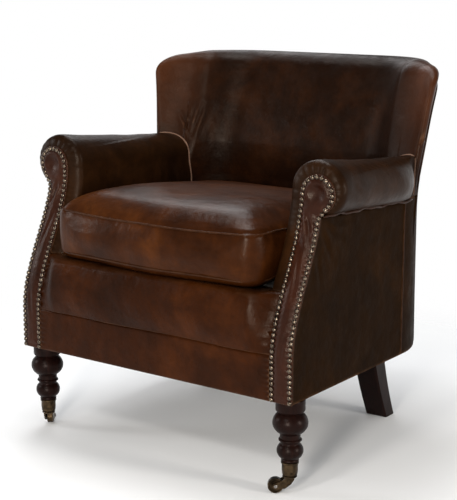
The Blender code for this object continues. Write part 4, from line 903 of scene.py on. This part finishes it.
def border():
    X, Z = np.meshgrid(spread(-BORDER_REACH, BORDER_REACH, 240), spread(BASE_Z, LIP_SEAM_Z, 46),
                       indexing="ij")
    up = (Z - BASE_Z) / (LIP_SEAM_Z - BASE_Z)
    rim = 0.0014 * rolled(Z - BASE_Z, 0.004)
    P = np.stack([X, np.full(X.shape, FRONT_Y), Z], -1)
    puff = 0.0012 * np.sin(np.pi * up) + wave(P, 20, 61) * 0.0006 * np.sin(np.pi * np.clip(up, 0, 1))
    seam = -0.003 * bell(LIP_SEAM_Z - Z, 0.004)
    pull = 0.001 * bell(BORDER_REACH - np.abs(X), 0.01) * np.cos(Z / NAIL_PITCH * 2 * math.pi)
    P[..., 1] -= puff - rim + seam + pull
    B = np.stack([X, np.full(X.shape, BORDER_REAR_Y), Z], -1)
    ob = slab("front_border_leather", P, B, RAIL, angle=60)
    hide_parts("front_border")


# Cushion: blown up as cloth from its pattern's shape, then seamed.

CUSHION_HALF = ARM_X - 0.0015
SEAM_LOW, SEAM_HIGH, CROWN = 0.394, 0.5, 0.53
WELT_LOW = SEAM_LOW + 0.001


def front_bow(x):
    """The cushion's front bows forward in the middle."""
    return -0.35 + 0.006 + 0.026 * (x / CUSHION_HALF) ** 2


def cushion_line(inset=0.0):
    """Outline of the cushion seen from above."""
    radius = 0.035
    corner_x = CUSHION_HALF - radius
    right = [(x, front_bow(x)) for x in spread(0, corner_x, 30)]
    cy = front_bow(corner_x) + radius
    right += [(corner_x + radius * math.cos(a), cy + radius * math.sin(a))
              for a in np.radians(spread(-80, 0, 12))]
    reach = CORNER_R - 0.0635
    cx = HALF - CORNER_R
    first = math.acos((CUSHION_HALF - cx) / reach)
    right += [(CUSHION_HALF, y) for y in spread(cy, CORNER_Y + reach * math.sin(first), 24)[1:-1]]
    right += [(cx + reach * math.cos(a), CORNER_Y + reach * math.sin(a))
              for a in spread(first, math.pi / 2, 24)]
    right += [(x, CORNER_Y + reach) for x in spread(cx, 0, 12)[1:]]
    right = np.array(right)
    left = right[1:-1][::-1] * (-1, 1)
    line = np.concatenate([right, left])
    path = resample(line, 0.006, closed=True)
    d = np.roll(path, -1, 0) - np.roll(path, 1, 0)
    n = np.stack([d[:, 1], -d[:, 0]], 1)
    n /= np.linalg.norm(n, axis=1, keepdims=True)
    return path - n * inset


def cushion_pattern():
    """Closed box in the cushion's shape, a little smaller, because the filling makes it swell."""
    outline = cushion_line()
    shrink = 0.0045
    middle = np.array([0.0, (outline[:, 1].min() + outline[:, 1].max()) / 2])
    half_y = outline[:, 1].max() - middle[1]
    crown = CROWN - SEAM_HIGH
    levels = [(0.16, DECK_Z + 0.0014), (0.05, DECK_Z + 0.0014), (0.012, DECK_Z + 0.002), (0.0, SEAM_LOW)]
    levels += [(0.0, z) for z in spread(SEAM_LOW, SEAM_HIGH, 12)[1:]]
    levels += [(inset, SEAM_HIGH + share * crown)
               for inset, share in ((0.008, 0.22), (0.03, 0.46), (0.07, 0.72), (0.12, 0.86), (0.18, 0.92))]
    rings = []
    for inset, z in levels:
        k = np.array([(CUSHION_HALF - shrink - inset) / CUSHION_HALF, (half_y - shrink - inset) / half_y])
        p = middle + (outline - middle) * k
        rings.append(np.column_stack([p, np.full(len(p), z)]))
    R = np.array(rings)
    nu, nv = R.shape[:2]
    faces = grid_faces(nu, nv, wrap_v=True) + [tuple(range(nv)), tuple(range((nu - 1) * nv, nu * nv))]
    ob = make("seat_cushion_leather", R.reshape(-1, 3), faces, SEAT, None)
    remesh = ob.modifiers.new("even", "REMESH")
    remesh.mode = "VOXEL"
    remesh.voxel_size = 0.0052
    bake(ob)
    return ob, outline


def blow_up(ob):
    """Fill the cushion as a cloth bag under pressure."""
    cloth = ob.modifiers.new("swell", "CLOTH")
    for key, value in {"quality": 6, "mass": 0.4, "use_pressure": True, "uniform_pressure_force": 4.0,
                       "tension_stiffness": 18, "compression_stiffness": 18, "shear_stiffness": 8,
                       "bending_stiffness": 0.6}.items():
        setattr(cloth.settings, key, value)
    cloth.settings.effector_weights.gravity = 0
    cloth.collision_settings.use_collision = False
    scene = bpy.context.scene
    scene.frame_start, scene.frame_end = 1, 20
    for f in range(1, 21):
        scene.frame_set(f)
    bake(ob)


def cushion():
    ob, outline = cushion_pattern()
    start = read(ob, "co")
    blow_up(ob)
    most = 0.012
    move = read(ob, "co") - start
    size = np.linalg.norm(move, axis=1, keepdims=True)
    move = relax(ob, move * np.minimum(1, most / np.maximum(size, 1e-9)), 60)
    P = relax(ob, start + move, 5)
    N = read(ob, "normal")
    P = P + (relax(ob, P, 40) - P) * smooth(N[:, 2:3], 0.15, 0.45)
    # the sitter has pressed the rear down, so the top is highest a third of the way back
    up = smooth(P[:, 2], 0.4, 0.5)
    high = P[:, 2].max()
    P[:, 2] -= up * (max(0.0, high - (CROWN + 0.002)) + 0.026 * smooth(P[:, 1], -0.2, 0.17))
    # keep it on the deck and between the arms
    P[:, 2] = np.maximum(P[:, 2], DECK_Z + 0.0004)
    P[:, 0] = np.clip(P[:, 0], -CUSHION_HALF, CUSHION_HALF)
    from_edge = nearest_on(P[:, :2], np.vstack([outline, outline[:1]]))[0]
    for seam in (WELT_LOW, SEAM_HIGH):
        near = bell(P[:, 2] - seam, 0.0055) * bell(from_edge, 0.012)
        P -= N * (0.0024 * near)[:, None]
    # boxing pulls in between its seams, and the front bellies out
    front = smooth(-P[:, 1], 0.22, 0.33)
    belly = np.sin(np.pi * np.clip((P[:, 2] - SEAM_LOW) / (SEAM_HIGH - SEAM_LOW), 0, 1))
    P[:, 1] -= 0.0032 * belly * front * (from_edge < 0.03)
    P = wrinkle(P, N)
    ob.data.vertices.foreach_set("co", np.ascontiguousarray(P, dtype=np.float64).ravel())
    ob.data.update()
    level = ob.modifiers.new("fine", "SUBSURF")
    level.levels = level.render_levels = 1
    bake(ob)
    ob.data.shade_smooth()
    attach(ob, "chair")
    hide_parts("seat_cushion")
    tree = surface_tree(ob)
    for mark, z in (("top", SEAM_HIGH), ("bottom", WELT_LOW)):
        path = []
        for x, y in cushion_line(inset=-0.004):
            hit = tree.find_nearest(Vector((x, y, z)))[0]
            path.append(hit + (Vector((x, y, z)) - hit).normalized() * 0.001)
        path = np.array(path)
        for _ in range(30):
            path = (np.roll(path, 1, 0) + 2 * path + np.roll(path, -1, 0)) / 4
        path[:, 2] = np.maximum(path[:, 2], DECK_Z + 0.0026)
        path[:, 0] = np.clip(path[:, 0], -CUSHION_HALF + 0.0012, CUSHION_HALF - 0.0012)
        tube(f"cushion_{mark}_welt", path, 0.0019, SEAT_WELT, closed=True)


def bake(ob):
    dg = bpy.context.evaluated_depsgraph_get()
    mesh = bpy.data.meshes.new_from_object(ob.evaluated_get(dg))
    ob.modifiers.clear()
    old = ob.data
    ob.data = mesh
    bpy.data.meshes.remove(old)


def relax(ob, P, rounds):
    """Even out a mesh's points, so that only broad forms of the blown-up pad stay."""
    edges = np.zeros(len(ob.data.edges) * 2, dtype=np.int64)
    ob.data.edges.foreach_get("vertices", edges)
    a, b = edges.reshape(-1, 2).T
    count = np.bincount(np.concatenate([a, b]), minlength=len(P))[:, None]
    for _ in range(rounds):
        total = np.zeros_like(P)
        np.add.at(total, a, P[b])
        np.add.at(total, b, P[a])
        P = P + 0.5 * (total / count - P)
    return P


def read(ob, what):
    """Places ("co") or normals ("normal") of a mesh's points."""
    out = np.zeros(len(ob.data.vertices) * 3)
    ob.data.vertices.foreach_get(what, out)
    return out.reshape(-1, 3)


def wrinkle(P, N):
    """Wrinkles that fan from the seam at the front, and slow unevenness over the top."""
    top = smooth(P[:, 2], SEAM_HIGH + 0.002, SEAM_HIGH + 0.01) * smooth(N[:, 2], 0.3, 0.8)
    P = P + N * ((wave(P, 13, 71) * 0.0014 + wave(P, 34, 72) * 0.0003) * top)[:, None]
    rng = np.random.RandomState(73)
    count = 26
    lines = []
    for k in range(count):
        x = -0.245 + 0.49 * (k + 0.5) / count + rng.uniform(-0.006, 0.006)
        y = front_bow(x) + 0.004
        length = rng.uniform(0.03, 0.085) * (1.35 if abs(x) > 0.15 else 0.8)
        bend = rng.uniform(-0.012, 0.012) - x * 0.1
        lines.append(([(x, y), (x + bend * 0.4, y + length * 0.5), (x + bend, y + length)],
                      rng.uniform(0.0024, 0.0042), rng.uniform(0.0002, 0.0007)))
    for side in (-1, 1):
        for k in range(6):
            y = -0.28 + 0.028 * k
            line = [(0.256, y), (0.225 - 0.004 * k, y + 0.018), (0.19 - 0.006 * k, y + 0.045)]
            lines.append((np.array(line) * (side, 1), 0.0038, 0.0007))
    for line, width, depth in lines:
        dist, t = nearest_on(P[:, :2], line)
        fade = np.clip(1.15 - t, 0, 1) * np.clip(t * 12, 0, 1)
        P = P + N * (crease(dist, width, 0.5) * depth * fade * top)[:, None]
    # upright dimples on the boxing
    face = (1 - top) * (P[:, 2] > SEAM_LOW) * (P[:, 2] < SEAM_HIGH)
    dimples = wave(P * (1, 1, 0.35), 26, 75) * 0.0006 + wave(P * (1, 1, 0.5), 70, 76) * 0.00012
    return P + N * (dimples * face)[:, None]


# Legs

def ball(cz, radius, half, low, high, steps):
    """Profile of a turned ball, from the neck of radius low below it to that of radius high above it."""
    return [(radius * math.cos(a), cz + half * math.sin(a))
            for a in spread(-math.acos(low / radius), math.acos(high / radius), steps)]


def front_leg(name, side):
    profile = [(0.0008, 0.0386), (0.012, 0.0386), (0.013, 0.045), (0.013, 0.0628), (0.016, 0.0633),
               (0.017, 0.064), (0.0172, 0.0655), (0.0166, 0.0668), (0.0161, 0.0676)]
    profile += ball(0.0845, 0.0255, 0.0205, 0.017, 0.0185, 20)
    profile += [(0.0182, 0.1)] + ball(0.106, 0.0225, 0.006, 0.019, 0.0195, 9)
    profile += ball(0.1395, 0.034, 0.0265, 0.0195, 0.0235, 26)
    profile += [(0.0238, 0.1595), (0.0252, 0.161), (0.0265, 0.1622), (0.0277, 0.1636), (0.0283, 0.165),
                (0.0283, 0.184), (0.0278, 0.1852), (0.0268, 0.1856), (0.008, 0.1857), (0.008, 0.219),
                (0.0008, 0.2195)]
    steps = 56
    a = np.arange(steps) * 2 * math.pi / steps
    R = np.array([np.stack([r * np.cos(a) + side * 0.313, r * np.sin(a) - 0.2845, np.full(steps, z)], 1)
                  for r, z in profile])
    ob = ring_body(f"{name}_turned_leg", R, MAHOGANY, 45, caps="fan")
    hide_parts(f"{name}_front_leg")


# Welts

def back_welt():
    """Cord between inside and outside back: up one wing, along the crest and down the other."""
    line = [(WRAP, z) for z in spread(SKIRT_Z + 0.03, float(hood_height(WRAP)), 16)[:-1]]
    corner = [WRAP + WING_CR * (1 - math.cos(t)) for t in spread(0, math.pi / 2, 10)]
    line += [(s, float(hood_height(s))) for s in [*corner, *spread(0.066, TOTAL, 60)]]
    s, z = np.array(line).T
    x, y = plan(s, -0.001, z)
    half = np.stack([x, y, z - 0.0005], 1)
    whole = np.concatenate([half, (half[:-1] * (-1, 1, 1))[::-1]])
    ob = tube("back_leather_welt", soften(resample(whole, 0.006), 3), 0.0022, WELT)
    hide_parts("back_welt")


def side_welts(name, side):
    y = spread(float(facing_y(TUCK_Z)) + 0.004, SEAM_Y + 0.02, 60)
    wander = 0.0014 * np.sin(y * 60) + 0.0009 * np.sin(y * 141 + 1)
    x = HALF + 0.006 + 0.0008 * np.sin(y * 90)
    tube(f"{name}_under_roll_welt", np.stack([side * x, y, tuck_z(y) - 0.004 + wander], 1), 0.003, WELT)
    # edge of the facing, where the side panel turns in under the nails
    z = spread(BASE_Z + 0.003, 0.5265, 90)
    x = np.full(90, side * (HALF - 0.0002))
    tube(f"{name}_facing_welt", np.stack([x, facing_y(z) + 0.0042, z], 1), 0.0013, WELT)
    z = spread(BASE_Z + 0.002, SKIRT_Z - 0.002, 80)
    x, y = plan((SEAM_Y - WING_Y) / WING_SLOPE, -0.0002, z)
    tube(f"{name}_side_seam_welt", np.stack([side * x, y, z], 1), 0.0013, WELT)


def junction_welt(name, side, arm, tree):
    """Cord where an arm runs into the back, found on the surfaces themselves."""
    path = []
    for j in range(arm.shape[1]):
        for i in range(30, len(arm) - 1):
            a, b = Vector(arm[i, j]), Vector(arm[i + 1, j])
            hit = tree.ray_cast(a, (b - a).normalized(), (b - a).length)[0]
            if hit is not None:
                j0, j1 = max(0, j - 1), min(arm.shape[1] - 1, j + 1)
                n = Vector(np.cross(arm[i, j1] - arm[i, j0], arm[i + 1, j] - arm[i, j])).normalized()
                if n.dot((hit.x - side * ROLL_X, 0, hit.z - 0.5)) < 0:
                    n = -n
                path.append(hit + n * 0.0006 - Vector((0, 0.0008, 0)))
                break
    # the cord's light colour is partly wear and partly a painted highlight
    tube(f"{name}_arm_back_welt", soften(resample(path, 0.004), 6), 0.002, PIPING)


# Stage

def join_shaders(share, low, high, output):
    tree = share.id_data
    fill(tree.nodes[output], Surface=wire(add(tree, "ShaderNodeMixShader"), share, low, high))


def floor():
    """Pale round floor that fades out to the white world behind it."""
    mat, tree, bsdf = new_material("pale_floor")
    place = object_place(tree)
    fill(bsdf, Base_Color=ramp(noise(place, 3.0, 3), [(0.3, 0.86), (0.7, 0.89)]),
         Roughness=0.9, Specular_IOR_Level=0.2)
    away = add(tree, "ShaderNodeVectorMath", operation="LENGTH", Vector=place).outputs["Value"]
    clear = add(tree, "ShaderNodeBsdfTransparent").outputs[0]
    join_shaders(rise(away, 0.45, 1.25, 1.0, 0.0), clear, bsdf.outputs[0], "Material Output")
    radii, sectors, below = (0.5, 1.0, 1.5, 2.0), 48, -0.0005
    angles = np.arange(sectors) * 2 * math.pi / sectors
    verts = [(0, 0, below)] + [(r * math.cos(a), r * math.sin(a), below) for r in radii for a in angles]
    faces = [(0, 1 + i, 1 + (i + 1) % sectors) for i in range(sectors)]
    faces += grid_faces(len(radii), sectors, 1, wrap_v=True)
    make("floor", verts, faces, mat, None)


def world():
    """White where the camera, a reflection or a refraction sees it, dimmer as light on the chair."""
    studio = bpy.data.worlds.new("studio")
    bpy.context.scene.world = studio
    studio.use_nodes = True
    tree = studio.node_tree
    height = axes(add(tree, "ShaderNodeTexCoord").outputs["Generated"])[2]
    seen = fill(tree.nodes["Background"], Color=(1.0, 1.0, 1.0),
                Strength=rise(height, 0.1, 0.45, 1.0, 0.12)).outputs[0]
    light = add(tree, "ShaderNodeBackground", Color=(0.96, 0.98, 1.0), Strength=0.46).outputs[0]
    path = add(tree, "ShaderNodeLightPath").outputs
    share = path["Is Camera Ray"]
    for ray in ("Is Glossy Ray", "Is Transmission Ray"):
        share = calc("MAXIMUM", share, path[ray])
    join_shaders(share, light, seen, "World Output")


def lamps():
    for name, at, look, size, power, colour in (
            ("key", (0.9, -2.4, 0.78), (0.0, -0.05, 0.45), (0.3, 0.85), 42, (1.0, 0.95, 0.88)),
            ("high_key", (0.3, -2.1, 2.1), (0.0, -0.05, 0.45), (0.3, 0.3), 14, (1.0, 0.97, 0.93)),
            ("overhead", (-0.4, 0.2, 2.5), (0, 0, 0.4), (1.0, 0.8), 30, (0.96, 0.98, 1.0)),
            ("right_side", (2.4, 0.05, 0.85), (0, 0, 0.55), (0.3, 0.7), 22, (1.0, 0.96, 0.91)),
            ("rear_top", (-1.25, 1.25, 2.0), (0, 0, 0.5), (0.95, 0.8), 11, (0.98, 0.98, 1.0)),
            ("left_fill", (-2.4, -1.4, 1.3), (0, 0, 0.45), (0.4, 0.6), 12, (0.97, 0.98, 1.0))):
        data = bpy.data.lights.new(name, "AREA")
        data.shape = "RECTANGLE"
        data.size, data.size_y = size
        data.energy = power
        data.color = colour
        aimed(name, data, at, look)


def aimed(name, data, at, look):
    ob = bpy.data.objects.new(name, data)
    ob.location = at
    ob.rotation_euler = (Vector(look) - ob.location).to_track_quat("-Z", "Y").to_euler()
    ROOT.objects.link(ob)
    return ob


def camera():
    """Camera as solved from the photo."""
    data = bpy.data.cameras.new("camera")
    data.lens = 94.36
    data.sensor_width = 36.0
    data.clip_end = 60
    bpy.context.scene.camera = aimed("camera", data, (1.5998, -2.2318, 0.9644), (0.121, -0.2185, 0.433))
    bpy.context.scene.view_settings.view_transform = "Standard"


back_tree = surface_tree(back_shell())
back_panel()
for name, side in SIDES.items():
    arm = arm_cover(name, side)
    nail_heads(name, side, facing(name, side))
    side_panel(name, side)
    front_leg(name, side)
    side_welts(name, side)
    junction_welt(name, side, arm, back_tree)
front_roll()
border()
cushion()
back_welt()
floor()
world()
lamps()
camera()
